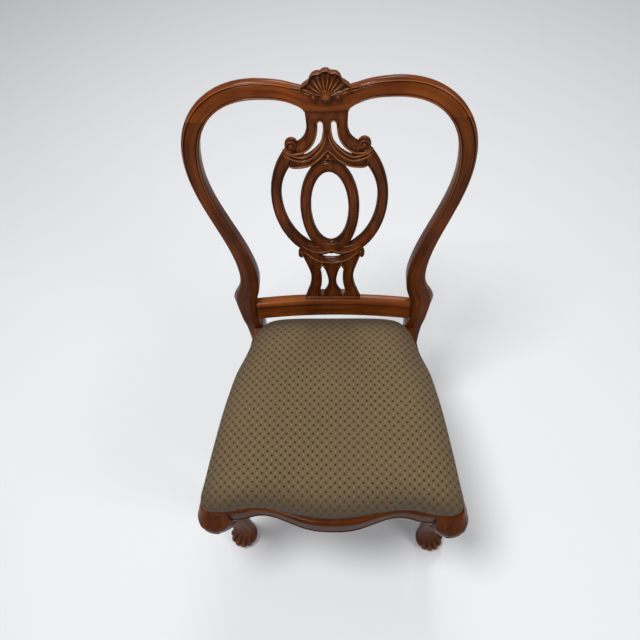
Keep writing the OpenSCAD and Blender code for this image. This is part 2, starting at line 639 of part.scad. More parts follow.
module side_rail_pins(extra) {
    for (y = [post_y, leg_face_y]) for (s = [0.355, 0.83])
        translate([side_x(y) - rail_t / 2, y, lerp(rail_bottom, rail_top, s)])
            rotate([90, 0, 0]) cylinder(d = dowel_d + 2 * extra, h = 2 * (dowel_in + extra), center = true);
}

// Rear seat rail between the posts, bevelled at the top of its back
rear_y = post_y + 2;
bevel_flat = 6;
bevel_drop = 24;
module rear_seat_rail() {
    reach = post_in - fit;
    color(wood) difference() {
        translate([-reach, rear_y, 0]) rotate([90, 0, 90]) linear_extrude(2 * reach) polygon([[0, rail_bottom],
            [rear_rail_t, rail_bottom], [rear_rail_t, rail_top - bevel_drop], [bevel_flat, rail_top],
            [0, rail_top]]);
        rear_rail_pins(fit);
        mirror([1, 0, 0]) rear_rail_pins(fit);
        rear_block_screws(fit);
        mirror([1, 0, 0]) rear_block_screws(fit);
    }
}

module rear_rail_pins(extra) {
    for (s = [0.12, 0.595])
        translate([post_in, rear_y + rear_rail_t / 2, lerp(rail_bottom, rail_top, s)])
            rotate([0, 90, 0]) cylinder(d = dowel_d + 2 * extra, h = 2 * (dowel_in + extra), center = true);
}

// Front leg: rows of [height, middle x, middle y, radius, squareness, toes]
leg_rows = curve([
    [glide_t, front_foot_x, knee_y + 30, front_foot_r - 8, 2, 0.2],
    [glide_t + 6, front_foot_x, knee_y + 30, front_foot_r - 3, 2, 0.7],
    [20, front_foot_x, knee_y + 30, front_foot_r + 0.5, 2, 1],
    [34, front_foot_x - 1, knee_y + 31, front_foot_r - 1, 2, 1],
    [51, front_foot_x - 5, knee_y + 34, front_foot_r * 0.77, 2, 0.8],
    [72, front_foot_x - 11, knee_y + 37, lerp(ankle_r, front_foot_r, 0.2), 2, 0.3],
    [100, front_foot_x - 15, knee_y + 38, ankle_r, 2, 0],
    [205, knee_x - 10, knee_y + 30, lerp(ankle_r, knee_r, 0.13), 2, 0],
    [rail_bottom - 127, knee_x - 8, knee_y + 21, lerp(ankle_r, knee_r, 0.30), 2, 0],
    [rail_bottom - 80, knee_x - 5, knee_y + 12, lerp(ankle_r, knee_r, 0.50), 2, 0],
    [rail_bottom - 46, knee_x - 2, knee_y + 5, lerp(ankle_r, knee_r, 0.73), 2, 0],
    [rail_bottom - 22, knee_x, knee_y + 1, knee_r - 2, 2, 0],
    [rail_bottom, knee_x, knee_y, knee_r, 2.1, 0],
    [rail_bottom + 16, knee_x - 1, knee_y + 2, knee_r - 0.5, 2.5, 0],
    [rail_bottom + 34, knee_x - 3, knee_y + 8, knee_r - 3.2, 3, 0],
    [rail_top, knee_x - 4, knee_y + 13, knee_r - 6.5, 3.5, 0]], 2);
leg_sides = 24;
function leg_ring(r) = [for (k = [leg_sides - 1:-1:0]) let (w = k * 360 / leg_sides,
    toe = r[5] * 0.075 * pow(abs(cos(toe_grooves * (w + 45))), 6) * ease((cos(w + 45) + 0.35) / 0.5),
    d = r[3] * (1 - toe) / pow(pow(abs(cos(w)), r[4]) + pow(abs(sin(w)), r[4]), 1 / r[4]),
    flat = r[0] > rail_bottom - knee_block_h - 6)
    [max(r[1] + d * cos(w), flat ? leg_face_x : 0), min(r[2] + d * sin(w), flat ? leg_face_y : 0), r[0]]];

module front_leg() {
    color(wood) difference() {
        loft([for (r = leg_rows) leg_ring(r)]);
        front_rail_pins(fit);
        side_rail_pins(fit);
        glide_nail(front_foot_x, knee_y + 30, fit);
    }
}

// Knee blocks under the ends of the rails, each hollowed to carry the knee's curve on.
// A block's lower edge at a distance from the leg:
function knee_drop(d) = 5 + (knee_block_h - 5) * (1 - sqrt(1 - pow(1 - min(d, knee_block_l) / knee_block_l, 2)));
knee_steps = [for (k = [0:8]) knee_block_l * pow(k / 8, 1.4)];
module front_knee_block() {
    color(wood) loft([for (d = knee_steps) let (x = leg_face_x - fit - d, y = face_y(x) + 2.5,
        top = rail_bottom - fit, low = top - knee_drop(d))
        [[x, y, top], [x, y + 0.5, low + 2], [x, y + 3, low], [x, y + rail_t - 4, low], [x, y + rail_t - 4, top]]]);
}
module side_knee_block() {
    color(wood) loft([for (d = knee_steps) let (y = leg_face_y + fit + d, x = side_x(y) - 2.5,
        top = rail_bottom - fit, low = top - knee_drop(d))
        [[x, y, top], [x - 0.5, y, low + 2], [x - 3, y, low], [x - rail_t + 4, y, low], [x - rail_t + 4, y, top]]]);
}

// Corner blocks glued and screwed inside the frame
block_z = rail_top - 6 - block_t;
module rear_corner_block() {
    color(block_wood) difference() {
        translate([0, 0, block_z]) linear_extrude(block_t) polygon(concat(
            [[post_in - block_leg, rear_y - fit], [post_in - 2, rear_y - fit]],
            [for (k = [0:4]) let (y = post_y - 2 - k * (block_leg - 4) / 4) [side_x(y) - rail_t - fit, y]]));
        rear_block_screws(fit);
        seat_screw(rear_screw_at, fit);
    }
}
module front_corner_block() {
    color(block_wood) difference() {
        translate([0, 0, block_z]) linear_extrude(block_t) polygon(concat(
            [for (k = [0:4]) let (x = leg_face_x - block_leg + k * (block_leg - 1) / 4)
                [x, face_y(x) + rail_t + fit]],
            [[leg_face_x - 1, leg_face_y + 1]],
            [for (k = [0:4]) let (y = leg_face_y + 1 + k * (block_leg - 1) / 4) [side_x(y) - rail_t - fit, y]]));
        front_block_screws(fit);
        seat_screw(front_screw_at, fit);
    }
}

// A screw along +Z from its head; extra widens it into its hole, with room for the driver
screw_l = 32;
head_d = 8;
module screw(length, extra) {
    cylinder(d1 = head_d + 2 * extra, d2 = screw_d + 2 * extra, h = 3);
    cylinder(d = screw_d + 2 * extra, h = length + extra);
    if (extra > 0) translate([0, 0, -30]) cylinder(d = head_d + 2 * extra, h = 30);
}
screw_bite = 13;
block_mid = block_z + block_t / 2;
module rear_block_screws(extra) {
    translate([post_in - 50, rear_y + screw_bite - screw_l, block_mid]) rotate([-90, 0, 0]) screw(screw_l, extra);
    y = post_y - 48;
    translate([side_x(y) - rail_t + screw_bite - screw_l, y, block_mid]) rotate([0, 90, 0])
        screw(screw_l, extra);
}
module front_block_screws(extra) {
    x = leg_face_x - 38;
    translate([x, face_y(x) + rail_t - screw_bite + screw_l, block_mid]) rotate([90, 0, 0])
        screw(screw_l, extra);
    y = leg_face_y + 38;
    translate([side_x(y) - rail_t + screw_bite - screw_l, y, block_mid]) rotate([0, 90, 0])
        screw(screw_l, extra);
}
module corner_block_screws() {
    color(steel) for (side = [0, 1]) mirror([side, 0, 0]) {
        rear_block_screws(0);
        front_block_screws(0);
    }
}

// Clearance around the cushion's soft pieces
slack = 0.3;

// Screws up through the blocks into the seat board
board_z = rail_top + fit + fabric_t + slack;
rear_screw_at = [post_in - 24, rear_y - 29];
front_screw_at = [leg_face_x - 13, leg_face_y + 11];
module seat_screw(at, extra) {
    translate([at[0], at[1], block_z + 4]) screw(board_z + board_t - 3 - block_z - 4, extra);
}
module seat_screws() {
    color(steel) for (side = [0, 1]) mirror([side, 0, 0]) {
        seat_screw(rear_screw_at, 0);
        seat_screw(front_screw_at, 0);
    }
}

// The seat's outline, from the middle of its front to the middle of its back
seat_front = front_y + 13;
seat_half_outline = [[0, seat_front], [30, seat_front + 1.4], [56, seat_front + 5], [80, seat_front + 10.5],
    [100, seat_front + 0.60 * serpentine], [121, seat_front + 0.76 * serpentine],
    [143, seat_front + 0.82 * serpentine], [163, seat_front + 0.77 * serpentine],
    [182, seat_front + 0.62 * serpentine], [200, seat_front + 0.45 * serpentine], [218, seat_front + 9.5],
    [236, seat_front + 9], [248, seat_front + 12], [257, seat_front + 19],
    [seat_half + 4, leg_face_y - 26], [seat_half + 5, leg_face_y - 12],
    for (k = [0:5]) let (y = lerp(leg_face_y + 6, 56, k / 5)) [side_x(y) + overhang, y],
    [side_x(95) + 2.5, 95], [side_x(120) + 0.5, 120], [side_end + 2.4, post_y - 50],
    [side_end - 3.4, post_y - 33], [side_end - 11.5, post_y - 16], [side_end - 23, post_y - 1.5],
    [side_end - 39, post_y + 10], [130, post_y + 16], [102, post_y + 19], [68, post_y + 20],
    [34, post_y + 20], [0, post_y + 20]];
outline_steps = len(seat_half_outline) - 1;
seat_outline = concat(seat_half_outline,
    [for (k = [outline_steps - 1:-1:1]) [-seat_half_outline[k][0], seat_half_outline[k][1]]]);
seat_centre = [0, -30];
// A point of the outline drawn in toward the seat's centre by a share and by a length
function drawn_in(p, share, length) = let (v = seat_centre - p) p + v * share + v / norm(v) * length;
function seat_ring(share, length, z) = [for (p = seat_outline) concat(drawn_in(p, share, length), [z])];

// The cushion's outside: rows of [share drawn in, rise above the rail tops, how far a layer under it
// moves inward, how far it moves down]
skin = [[0.012, 0, 1, 0], [0, 11, 1, 0], [0.008, crown * 0.45, 1, 0.2],
    [0.035, crown * 0.60, 0.7, 0.7], [0.10, crown * 0.76, 0.3, 1], [0.22, crown * 0.88, 0.1, 1],
    [0.45, crown * 0.97, 0, 1], [0.8, crown, 0, 1]];
flap = 0.062;
seat_base = rail_top + fit;
module seat_cover() {
    outside = [for (k = [len(skin) - 1:-1:0]) seat_ring(skin[k][0], 0, seat_base + skin[k][1])];
    inside = [for (s = skin) seat_ring(s[0], s[2] * fabric_t, seat_base + max(s[1], fabric_t) - s[3] * fabric_t)];
    color(olive) loft(concat(outside, [seat_ring(flap, 0, seat_base), seat_ring(flap, 0, seat_base + fabric_t)],
        inside));
}
module seat_foam() {
    lift = fabric_t + slack;
    low = board_z + board_t + fit;
    color([0.93, 0.90, 0.78]) loft(concat(
        [seat_ring(0.03, 0, low)],
        [for (s = skin) if (s[1] > 14) seat_ring(s[0], s[2] * lift + 0.4, max(seat_base + s[1] - s[3] * lift, low + 2))]));
}
module seat_board() {
    color(block_wood) difference() {
        translate([0, 0, board_z]) linear_extrude(board_t)
            polygon([for (p = seat_outline) drawn_in(p, 0.012, fabric_t + 2)]);
        for (side = [0, 1]) mirror([side, 0, 0]) {
            seat_screw(rear_screw_at, fit);
            seat_screw(front_screw_at, fit);
        }
    }
}
dust_t = 0.8;
module dust_cover() {
    color([0.12, 0.12, 0.13]) difference() {
        translate([0, 0, board_z - fit - dust_t]) linear_extrude(dust_t)
            polygon([for (p = seat_outline) drawn_in(p, flap + 0.008, 1)]);
        for (side = [0, 1]) mirror([side, 0, 0]) {
            seat_screw(rear_screw_at, fit);
            seat_screw(front_screw_at, fit);
        }
    }
}

module place_glides() {
    for (side = [-1, 1]) {
        translate([side * front_foot_x, knee_y + 30, 0]) children();
        translate([side * (rear_foot_half - rear_foot / 2), post_y + rear_rake + rear_foot / 2, 0]) children();
    }
}
nail_d = 3;
nail_l = 14;
module glide_nail(x, y, extra) {
    translate([x, y, glide_t - 1]) cylinder(d = nail_d + 2 * extra, h = nail_l + 1 + extra);
}
module foot_glides() {
    color(steel) place_glides() {
        cylinder(d1 = glide_d - 2, d2 = glide_d, h = glide_t - fit);
        translate([0, 0, glide_t - 1]) cylinder(d = nail_d, h = nail_l + 1);
    }
}

module at_middle() { translate([0, -mid_y, 0]) children(); }

module pair() {
    children();
    mirror([1, 0, 0]) children();
}
module other() {
    mirror([1, 0, 0]) children();
}

at_middle() other() rear_post();  // left_rear_post
at_middle() rear_post();  // right_rear_post
at_middle() crest_rail();
at_middle() crest_shell();
at_middle() back_splat();
at_middle() lower_back_rail();
at_middle() rear_seat_rail();
at_middle() other() side_rail();  // left_side_rail
at_middle() side_rail();  // right_side_rail
at_middle() front_seat_rail();
at_middle() other() front_leg();  // left_front_leg
at_middle() front_leg();  // right_front_leg
at_middle() other() front_knee_block();  // left_front_knee_block
at_middle() front_knee_block();  // right_front_knee_block
at_middle() other() side_knee_block();  // left_side_knee_block
at_middle() side_knee_block();  // right_side_knee_block
at_middle() other() rear_corner_block();  // rear_left_corner_block
at_middle() rear_corner_block();  // rear_right_corner_block
at_middle() other() front_corner_block();  // front_left_corner_block
at_middle() front_corner_block();  // front_right_corner_block
at_middle() corner_block_screws();
at_middle() seat_screws();
at_middle() seat_board();
at_middle() seat_foam();
at_middle() seat_cover();
at_middle() dust_cover();
at_middle() color(block_wood) pair() crest_pins(0);  // crest_dowels
at_middle() color(block_wood) pair() cross_pins(0);  // lower_rail_dowels
at_middle() color(block_wood) pair() rear_rail_pins(0);  // rear_rail_dowels
at_middle() color(block_wood) pair() side_rail_pins(0);  // side_rail_dowels
at_middle() color(block_wood) pair() front_rail_pins(0);  // front_rail_dowels
at_middle() foot_glides();
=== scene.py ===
# %% [markdown]
# # A dining side chair in polished wood
# The real chair is a glued wooden frame with a loose upholstered seat. Its back is a balloon of
# moulded wood with a pierced splat, its front legs are cabriole legs with carved knees and toes.
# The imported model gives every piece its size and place, so this script only gives the pieces
# their fine shapes and finishes. Pieces whose solids are right already keep them and get a
# better material. The others are worked out again here as fine surfaces.

# %% The frame comes first
import math

import bpy
import numpy as np
from mathutils import Matrix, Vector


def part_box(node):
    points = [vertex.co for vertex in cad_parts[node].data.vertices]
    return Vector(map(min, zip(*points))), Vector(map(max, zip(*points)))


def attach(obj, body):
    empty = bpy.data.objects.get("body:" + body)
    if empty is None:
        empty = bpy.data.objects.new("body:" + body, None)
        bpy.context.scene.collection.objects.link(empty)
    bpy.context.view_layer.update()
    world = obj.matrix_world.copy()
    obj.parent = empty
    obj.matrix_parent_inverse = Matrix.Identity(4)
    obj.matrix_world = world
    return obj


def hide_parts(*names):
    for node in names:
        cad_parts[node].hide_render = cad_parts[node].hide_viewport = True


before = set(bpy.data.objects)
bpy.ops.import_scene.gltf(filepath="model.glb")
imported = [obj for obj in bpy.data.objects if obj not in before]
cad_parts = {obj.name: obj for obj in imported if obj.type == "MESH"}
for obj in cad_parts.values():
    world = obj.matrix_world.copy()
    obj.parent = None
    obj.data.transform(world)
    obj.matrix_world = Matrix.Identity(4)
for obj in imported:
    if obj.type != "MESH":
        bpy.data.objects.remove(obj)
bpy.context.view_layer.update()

print("nodes in the frame:", len(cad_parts))

# %% [markdown]
# ## The sizes that the shapes share
# The surfaces below are drawn in millimetres, as a chairmaker would draw them: x across the
# chair, y to the back, z up from the floor. These are the sizes that the solids were drawn with,
# so the surfaces land on them. The drawing's y starts at another place than the frame's, so
# one measured face, the front of the rear seat rail, gives the shift between the two.

# %% Sizes of the chair in millimetres
RAIL_TOP, RAIL_H, RAIL_T = 445.0, 53.0, 22.0
RAIL_BOTTOM = RAIL_TOP - RAIL_H
POST_Y = 189.0
SEAT_DEPTH, SERPENTINE, APRON_RISE = 456.0, 28.0, 15.0
SEAT_HALF, SIDE_BOW, OVERHANG = 258.0, 6.5, 4.0
RAKE = math.tan(math.radians(12.06))
EAR_HALF, EAR_Z = 268.0, RAIL_TOP + 435.0
WAIST_HALF, WAIST_Z = 203.0, RAIL_TOP + 160.0
SHOULDER_HALF = 223.0
CREST_JOINT_Z = RAIL_TOP + 515.0
LOBE_X, LOBE_Z = 118.0, CREST_JOINT_Z + 67.0
SPLAT_JOINT_Z = CREST_JOINT_Z + 12.0
DIP_Z = LOBE_Z - 23.0
MEMBER_W, WAIST_W, MEMBER_T, QUIRK = 31.5, 40.5, 26.0, 1.6
CROSS_BOTTOM = RAIL_TOP + 28.0
CROSS_H, CROSS_T, CROSS_BOW = 46.0, 22.5, 11.0
CROSS_TOP = CROSS_BOTTOM + CROSS_H
SHOULDER_Z = CROSS_TOP + 11.0
KNEE_X, KNEE_Y = SEAT_HALF - 18.0, POST_Y - SEAT_DEPTH + 34.0
KNEE_R, ANKLE_R, FOOT_R, FOOT_X = 38.5, 17.0, 34.5, 246.0
REAR_FOOT_HALF, REAR_FOOT, REAR_RAKE, GLIDE_T = 212.0, 30.0, 77.0, 3.0
SPLAT_T = 11.0
CROWN, FABRIC_T = 43.0, 1.4
FIT = 0.15

MIDDLE_Y = POST_Y + 2.0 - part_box("rear_seat_rail")[0].y * 1000.0
print("the drawing's y is", round(MIDDLE_Y, 3), "mm more than the frame's")

# %% [markdown]
# ## Curves and surfaces
# Three small tools carry the whole chair. *flow* reads a smooth curve off a short table, *through*
# rounds a list of corner points into a path, and *surface* knits a grid of points into faces.
# The grids are whole numpy arrays. Blender could also loft curves with a modifier, but a grid
# keeps every bead and groove just where the formula puts it.

# %% Smooth curves through tables and points
def ease(u):
    """Smooth step: three times the square less twice the cube, held between 0 and 1."""
    u = np.clip(u, 0.0, 1.0)
    return u * u * (3.0 - 2.0 * u)


def between(a, b, t):
    """The point at a share t of the way from a to b."""
    return a + (b - a) * t


def flow(table, x):
    """Smooth curve through the rows [x, value]: a cubic between neighbours, whose slope at each
    row is the slope from the row before to the row after."""
    t, x = np.asarray(table, float), np.asarray(x, float)
    k = np.arange(len(t))
    before, after = np.maximum(k - 1, 0), np.minimum(k + 1, len(t) - 1)
    slope = (t[after, 1] - t[before, 1]) / (t[after, 0] - t[before, 0])
    i = np.clip(np.searchsorted(t[:, 0], x, side="left") - 1, 0, len(t) - 2)
    w = t[i + 1, 0] - t[i, 0]
    u = (x - t[i, 0]) / w
    v = 1.0 - u
    return (t[i, 1] * (1 + 2 * u) * v * v + t[i + 1, 1] * (1 + 2 * v) * u * u
            + (slope[i] * v - slope[i + 1] * u) * w * u * v)


def through(rows, steps):
    """Path through rows of numbers, each span cut into equal steps of a cubic that takes its
    slope from the rows on either side."""
    p = np.asarray(rows, float)
    p = np.vstack([2 * p[0] - p[1], p, 2 * p[-1] - p[-2]])
    t = (np.arange(steps) / steps)[None, :, None]
    a, b, c, d = (p[k:len(p) - 3 + k][:, None, :] for k in range(4))
    spans = 0.5 * (2 * b + (c - a) * t + (2 * a - 5 * b + 4 * c - d) * t ** 2
                   + (3 * b - a - 3 * c + d) * t ** 3)
    return np.vstack([spans.reshape(-1, p.shape[1]), p[-2]])


def bump(x, middle, half_width):
    """A smooth hill: 1 at its middle, falling as a bell that is spent one half width away."""
    return np.exp(-4.0 * ((x - middle) / half_width) ** 2)


def half_round(u):
    """Height of a half circle over u from -1 to 1: the root of one less the square."""
    return np.sqrt(np.clip(1 - u ** 2, 0, 1))


def rounded_edge(near, width):
    """How far a quarter round falls back: 1 at the very edge, 0 from one width inwards."""
    return 1 - half_round(1 - np.minimum(near / width, 1))


def circle(steps):
    """Equal angles round a circle, as one row."""
    return np.linspace(0, 2 * math.pi, steps, endpoint=False)[None, :]


print("a trial curve passes", round(float(flow([[0, 0], [1, 2], [2, 3]], 0.5)), 3),
      "half way to 2")

# %% Knitting grids of points into pieces
def along_the_grain(points, loop):
    """Where each point lies in its board: two distances across the path that the rows' middles
    follow, and the distance along it. A closed path has no end to start from, so it takes its
    grain straight up."""
    if loop:
        return points.copy()
    middles = points.mean(1)
    ahead = np.gradient(middles, axis=0)
    ahead /= np.linalg.norm(ahead, axis=1)[:, None]
    aside = np.cross(ahead, [0.0, 1.0, 0.0])
    aside /= np.linalg.norm(aside, axis=1)[:, None]
    frame_axes = np.stack([aside, np.cross(ahead, aside), ahead], 1)
    run = np.concatenate([[0], np.cumsum(np.linalg.norm(np.diff(middles, axis=0), axis=1))])
    local = np.einsum("rkc,rnc->rnk", frame_axes, points - middles[:, None])
    local[..., 2] += run[:, None]
    return local


def surface(points, shade=None, loop=False, ring=True, ends=True, straight=None):
    """A grid of points [row, column, xyz] as faces. Columns close round on themselves (ring),
    rows may too (loop), and open ends of a ring are closed by a fan to their middle point.
    The grain follows the rows, or an axis x, y or z where the board is named as straight."""
    points = np.asarray(points, float)
    m, n = points.shape[:2]
    shade = np.zeros((m, n)) if shade is None else np.broadcast_to(shade, (m, n))
    i, j = np.meshgrid(np.arange(m if loop else m - 1), np.arange(n if ring else n - 1),
                       indexing="ij")
    i2, j2 = (i + 1) % m, (j + 1) % n
    quads = np.stack([i * n + j, i * n + j2, i2 * n + j2, i2 * n + j], -1).reshape(-1, 4)
    if straight is None:
        grain = along_the_grain(points, loop)
    else:
        grain = np.roll(points, 2 - "xyz".index(straight), axis=2)
    spots, tone, fans = [points.reshape(-1, 3)], [shade.reshape(-1)], []
    veins = [grain.reshape(-1, 3)]
    if ends and ring and not loop:
        k = np.arange(n)
        for row, turn in ((0, 1), (m - 1, -1)):
            centre = m * n + len(fans)
            spots.append(points[row].mean(0)[None])
            tone.append(shade[row].mean()[None])
            veins.append(grain[row].mean(0)[None])
            rim = np.stack([k + row * n, (k + 1) % n + row * n], -1)[:, ::turn]
            fans.append(np.concatenate([np.full((n, 1), centre), rim[:, ::-1]], 1))
    tris = np.concatenate(fans) if fans else np.zeros((0, 3), int)
    return turned_out(np.concatenate(spots), quads, tris, np.concatenate(tone),
                      np.concatenate(veins))


def turned_out(spots, quads, tris, tone, veins):
    """Turns every face over if the volume that the faces enclose comes out negative."""
    def volume(f):
        a, b, c = (spots[f[:, k]] for k in range(3))
        return np.einsum("ij,ij->", a, np.cross(b, c))
    total = volume(quads[:, [0, 1, 2]]) + volume(quads[:, [0, 2, 3]]) + volume(tris)
    if total < 0:
        quads, tris = quads[:, ::-1], tris[:, ::-1]
    return {"spots": spots, "quads": quads, "tris": tris, "tone": tone, "veins": veins}


def mirrored(part):
    """The same surface on the other side of the chair, with its faces turned back outwards."""
    return {"spots": part["spots"] * [-1, 1, 1], "quads": part["quads"][:, ::-1],
            "tris": part["tris"][:, ::-1], "tone": part["tone"],
            "veins": part["veins"] + [40, 0, 700]}


def placed(name, data):
    """An object for a mesh, lamp or camera, linked into the scene at the origin."""
    thing = bpy.data.objects.new(name, data)
    bpy.context.collection.objects.link(thing)
    return thing


def piece(name, parts, material, sharp=48.0):
    """One mesh object out of several surfaces. Each point carries its grain and a tone: up
    to 1 in the hollows, where dark polish gathers and painted shade darkens them, and below 0
    on the tops, which carry wear and a painted highlight."""
    spots, quads, tris, tone, veins, start = [], [], [], [], [], 0
    for part in parts:
        spots.append((part["spots"] - [0.0, MIDDLE_Y, 0.0]) * 0.001)
        quads.append(part["quads"] + start)
        tris.append(part["tris"] + start)
        tone.append(part["tone"])
        veins.append(part["veins"] * 0.001)
        start += len(part["spots"])
    spots, quads, tris = np.concatenate(spots), np.concatenate(quads), np.concatenate(tris)
    sizes = np.concatenate([np.full(len(quads), 4), np.full(len(tris), 3)])
    mesh = bpy.data.meshes.new(name)
    mesh.vertices.add(len(spots))
    mesh.vertices.foreach_set("co", spots.astype(np.float32).ravel())
    mesh.loops.add(int(sizes.sum()))
    corners = np.concatenate([quads.ravel(), tris.ravel()])
    mesh.loops.foreach_set("vertex_index", corners.astype(np.int32))
    mesh.polygons.add(len(sizes))
    mesh.polygons.foreach_set("loop_start", (np.cumsum(sizes) - sizes).astype(np.int32))
    mesh.update(calc_edges=True)
    mesh.polygons.foreach_set("use_smooth", np.ones(len(sizes), bool))
    # The tone: dark polish and painted shade in the hollows, wear and a painted highlight on the
    # tops.
    stain_shade_and_highlight = mesh.attributes.new("stain_shade_and_highlight", "FLOAT", "POINT")
    stain_shade_and_highlight.data.foreach_set("value", np.concatenate(tone).astype(np.float32))
    grain = mesh.attributes.new("grain", "FLOAT_VECTOR", "POINT")
    grain.data.foreach_set("vector", np.concatenate(veins).astype(np.float32).ravel())
    mesh.set_sharp_from_angle(angle=math.radians(sharp))
    mesh.materials.append(material)
    thing = placed(name, mesh)
    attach(thing, "root")
    print(name, "has", len(quads) * 2 + len(tris), "triangles")
    return thing


# %% [markdown]
# ## The polish
# The frame is stained a red brown and polished to a gloss, with darker stain left in the
# grooves, and painted shade darkens the grooves as well. A picture of wood would repeat and show
# its edges, so the grain is computed instead. Noise that is stretched along the board gives the
# long streaks, a second, wide noise gives the cloudy change of tone, and a tone kept at each
# point darkens the hollows with dark polish and painted shade, and lightens the tops of beads
# with wear and a painted highlight. Each piece also has its own lightness, partly its board's
# tone and partly painted light. The clear coat is the shader's own coat layer.

# %% Small helpers for material nodes
def new_material(name, **sockets):
    """A material with one Principled shader, whose named sockets are set at once."""
    material = bpy.data.materials.new(name)
    material.use_nodes = True
    shader = material.node_tree.nodes["Principled BSDF"]
    for socket, value in sockets.items():
        shader.inputs[socket.replace("_", " ")].default_value = value
    return material, material.node_tree, shader


def node(tree, kind, inputs=None, **settings):
    """A node of a kind, with its settings made and its inputs given a value or linked."""
    made = tree.nodes.new("ShaderNode" + kind)
    for key, value in settings.items():
        setattr(made, key, value)
    for key, value in (inputs or {}).items():
        if isinstance(value, bpy.types.NodeSocket):
            tree.links.new(value, made.inputs[key])
        else:
            made.inputs[key].default_value = value
    return made


def maths(tree, operation, *values):
    """One step of arithmetic on numbers or sockets."""
    return node(tree, "Math", dict(enumerate(values)), operation=operation).outputs[0]


def ramp(tree, factor, stops):
    """Colour stops [place, colour] along a factor."""
    made = node(tree, "ValToRGB", {"Fac": factor})
    elements = made.color_ramp.elements
    while len(elements) < len(stops):
        elements.new(1.0)
    for element, (place, colour) in zip(elements, stops):
        element.position, element.color = place, (*colour, 1.0)
    return made.outputs["Color"]


def mixed(tree, factor, a, b, blend="MIX"):
    """Two colours mixed by a factor."""
    made = node(tree, "Mix", data_type="RGBA", blend_type=blend)
    sockets = ((made.inputs["Factor"], factor), (made.inputs[6], a), (made.inputs[7], b))
    for socket, value in sockets:
        if isinstance(value, bpy.types.NodeSocket):
            tree.links.new(value, socket)
        else:
            socket.default_value = value if isinstance(value, float) else (*value, 1.0)
    return made.outputs[2]


def object_place(tree):
    """The place of a point on its object, in metres."""
    return node(tree, "TexCoord").outputs["Object"]


def noise(tree, place, scale, detail, **more):
    """Soft noise between 0 and 1."""
    inputs = {"Vector": place, "Scale": scale, "Detail": detail, **more}
    return node(tree, "TexNoise", inputs).outputs["Fac"]


def add_relief(tree, shader, height, strength, distance):
    """Fine relief too small for the mesh, from a height."""
    inputs = {"Height": height, "Strength": strength, "Distance": distance}
    tree.links.new(node(tree, "Bump", inputs).outputs[0], shader.inputs["Normal"])


def between_values(tree, value, low, high):
    """A value from 0 to 1 stretched to run from low to high."""
    return node(tree, "MapRange", {"Value": value, "To Min": low, "To Max": high}).outputs[0]


def ink(red, green, blue):
    """A colour as a camera writes it, from 0 to 255, as the light that the shader wants."""
    c = np.array([red, green, blue]) / 255.0
    return tuple(float(v) for v in np.where(c < 0.04045, c / 12.92, ((c + 0.055) / 1.055) ** 2.4))


print("a mid brown of 96, 50, 24 is", [round(v, 3) for v in ink(96, 50, 24)])

# %% The wood, with its grain along a piece or along one axis
STREAKS_ACROSS, STREAKS_ALONG = 85.0, 6.0
BROWNS = ((0.26, (64, 27, 6)), (0.44, (90, 42, 11)), (0.58, (106, 52, 15)), (0.76, (126, 67, 24)))
CLOUDS = ((0.32, (0.62, 0.56, 0.52)), (0.52, (1.0, 1.0, 1.0)), (0.72, (1.3, 1.22, 1.05)))
# How strongly the tone kept at each point darkens hollows with dark polish and painted shade, and
# lightens tops with wear and a painted highlight.
HOLLOW_STAIN_AND_SHADE, TOP_WEAR_AND_HIGHLIGHT = 0.85, -0.6


def polished_wood(name, tone_and_light=1.0, along=None, gloss=0.15):
    """Grain: noise drawn out 14 times along the board, turned into streaks of four browns, times
    a wide noise for the clouds and a lightness for the whole piece, which is partly the board's
    tone and partly painted light. Where a point's tone is above nothing, dark polish and painted
    shade darken it, as in the hollows. The same streaks roughen the gloss a little, and where the
    tone is below nothing the wood is lighter, with wear and a painted highlight, as on the tops of
    beads. Solids have no grain of their own, so they name an axis. The legs and the front rail
    have lost most of their polish, so their gloss is low."""
    material, tree, shader = new_material(name, Coat_Weight=gloss, Coat_Roughness=0.08,
                                          Coat_IOR=1.45, Specular_IOR_Level=0.6 * gloss)
    scale = [STREAKS_ACROSS] * 3
    scale["xyz".index(along or "z")] = STREAKS_ALONG
    if along is None:
        place = node(tree, "Attribute", attribute_name="grain").outputs["Vector"]
    else:
        place = object_place(tree)
    drawn = node(tree, "Mapping", {"Vector": place, "Scale": scale}).outputs[0]
    streak = noise(tree, drawn, 1.0, 6.0, Roughness=0.6, Distortion=0.3)
    cloud = noise(tree, place, 11.0, 2.5)
    brown = ramp(tree, streak, [[spot, ink(*colour)] for spot, colour in BROWNS])
    # The piece's lightness scales the clouds: partly the board's own tone, partly painted light.
    clouds = ramp(tree, cloud, [[spot, tuple(c * tone_and_light for c in tint)] for spot, tint in CLOUDS])
    tone = mixed(tree, 1.0, brown, clouds, "MULTIPLY")
    stain_shade_and_highlight = node(tree, "Attribute", attribute_name="stain_shade_and_highlight").outputs["Fac"]
    # Dark polish and painted shade in the hollows, wear and a painted highlight on the tops.
    shares = [maths(tree, "MULTIPLY", stain_shade_and_highlight, share) for share in (HOLLOW_STAIN_AND_SHADE, TOP_WEAR_AND_HIGHLIGHT)]
    dark, wear_and_highlight = (node(tree, "Clamp", {"Value": share}).outputs[0] for share in shares)
    stained_and_shaded = mixed(tree, dark, tone, ink(26, 11, 6))
    tree.links.new(mixed(tree, wear_and_highlight, stained_and_shaded, ink(186, 120, 72)), shader.inputs["Base Color"])
    tree.links.new(between_values(tree, streak, 0.27, 0.42), shader.inputs["Roughness"])
    add_relief(tree, shader, streak, 0.10, 0.0006)
    return material


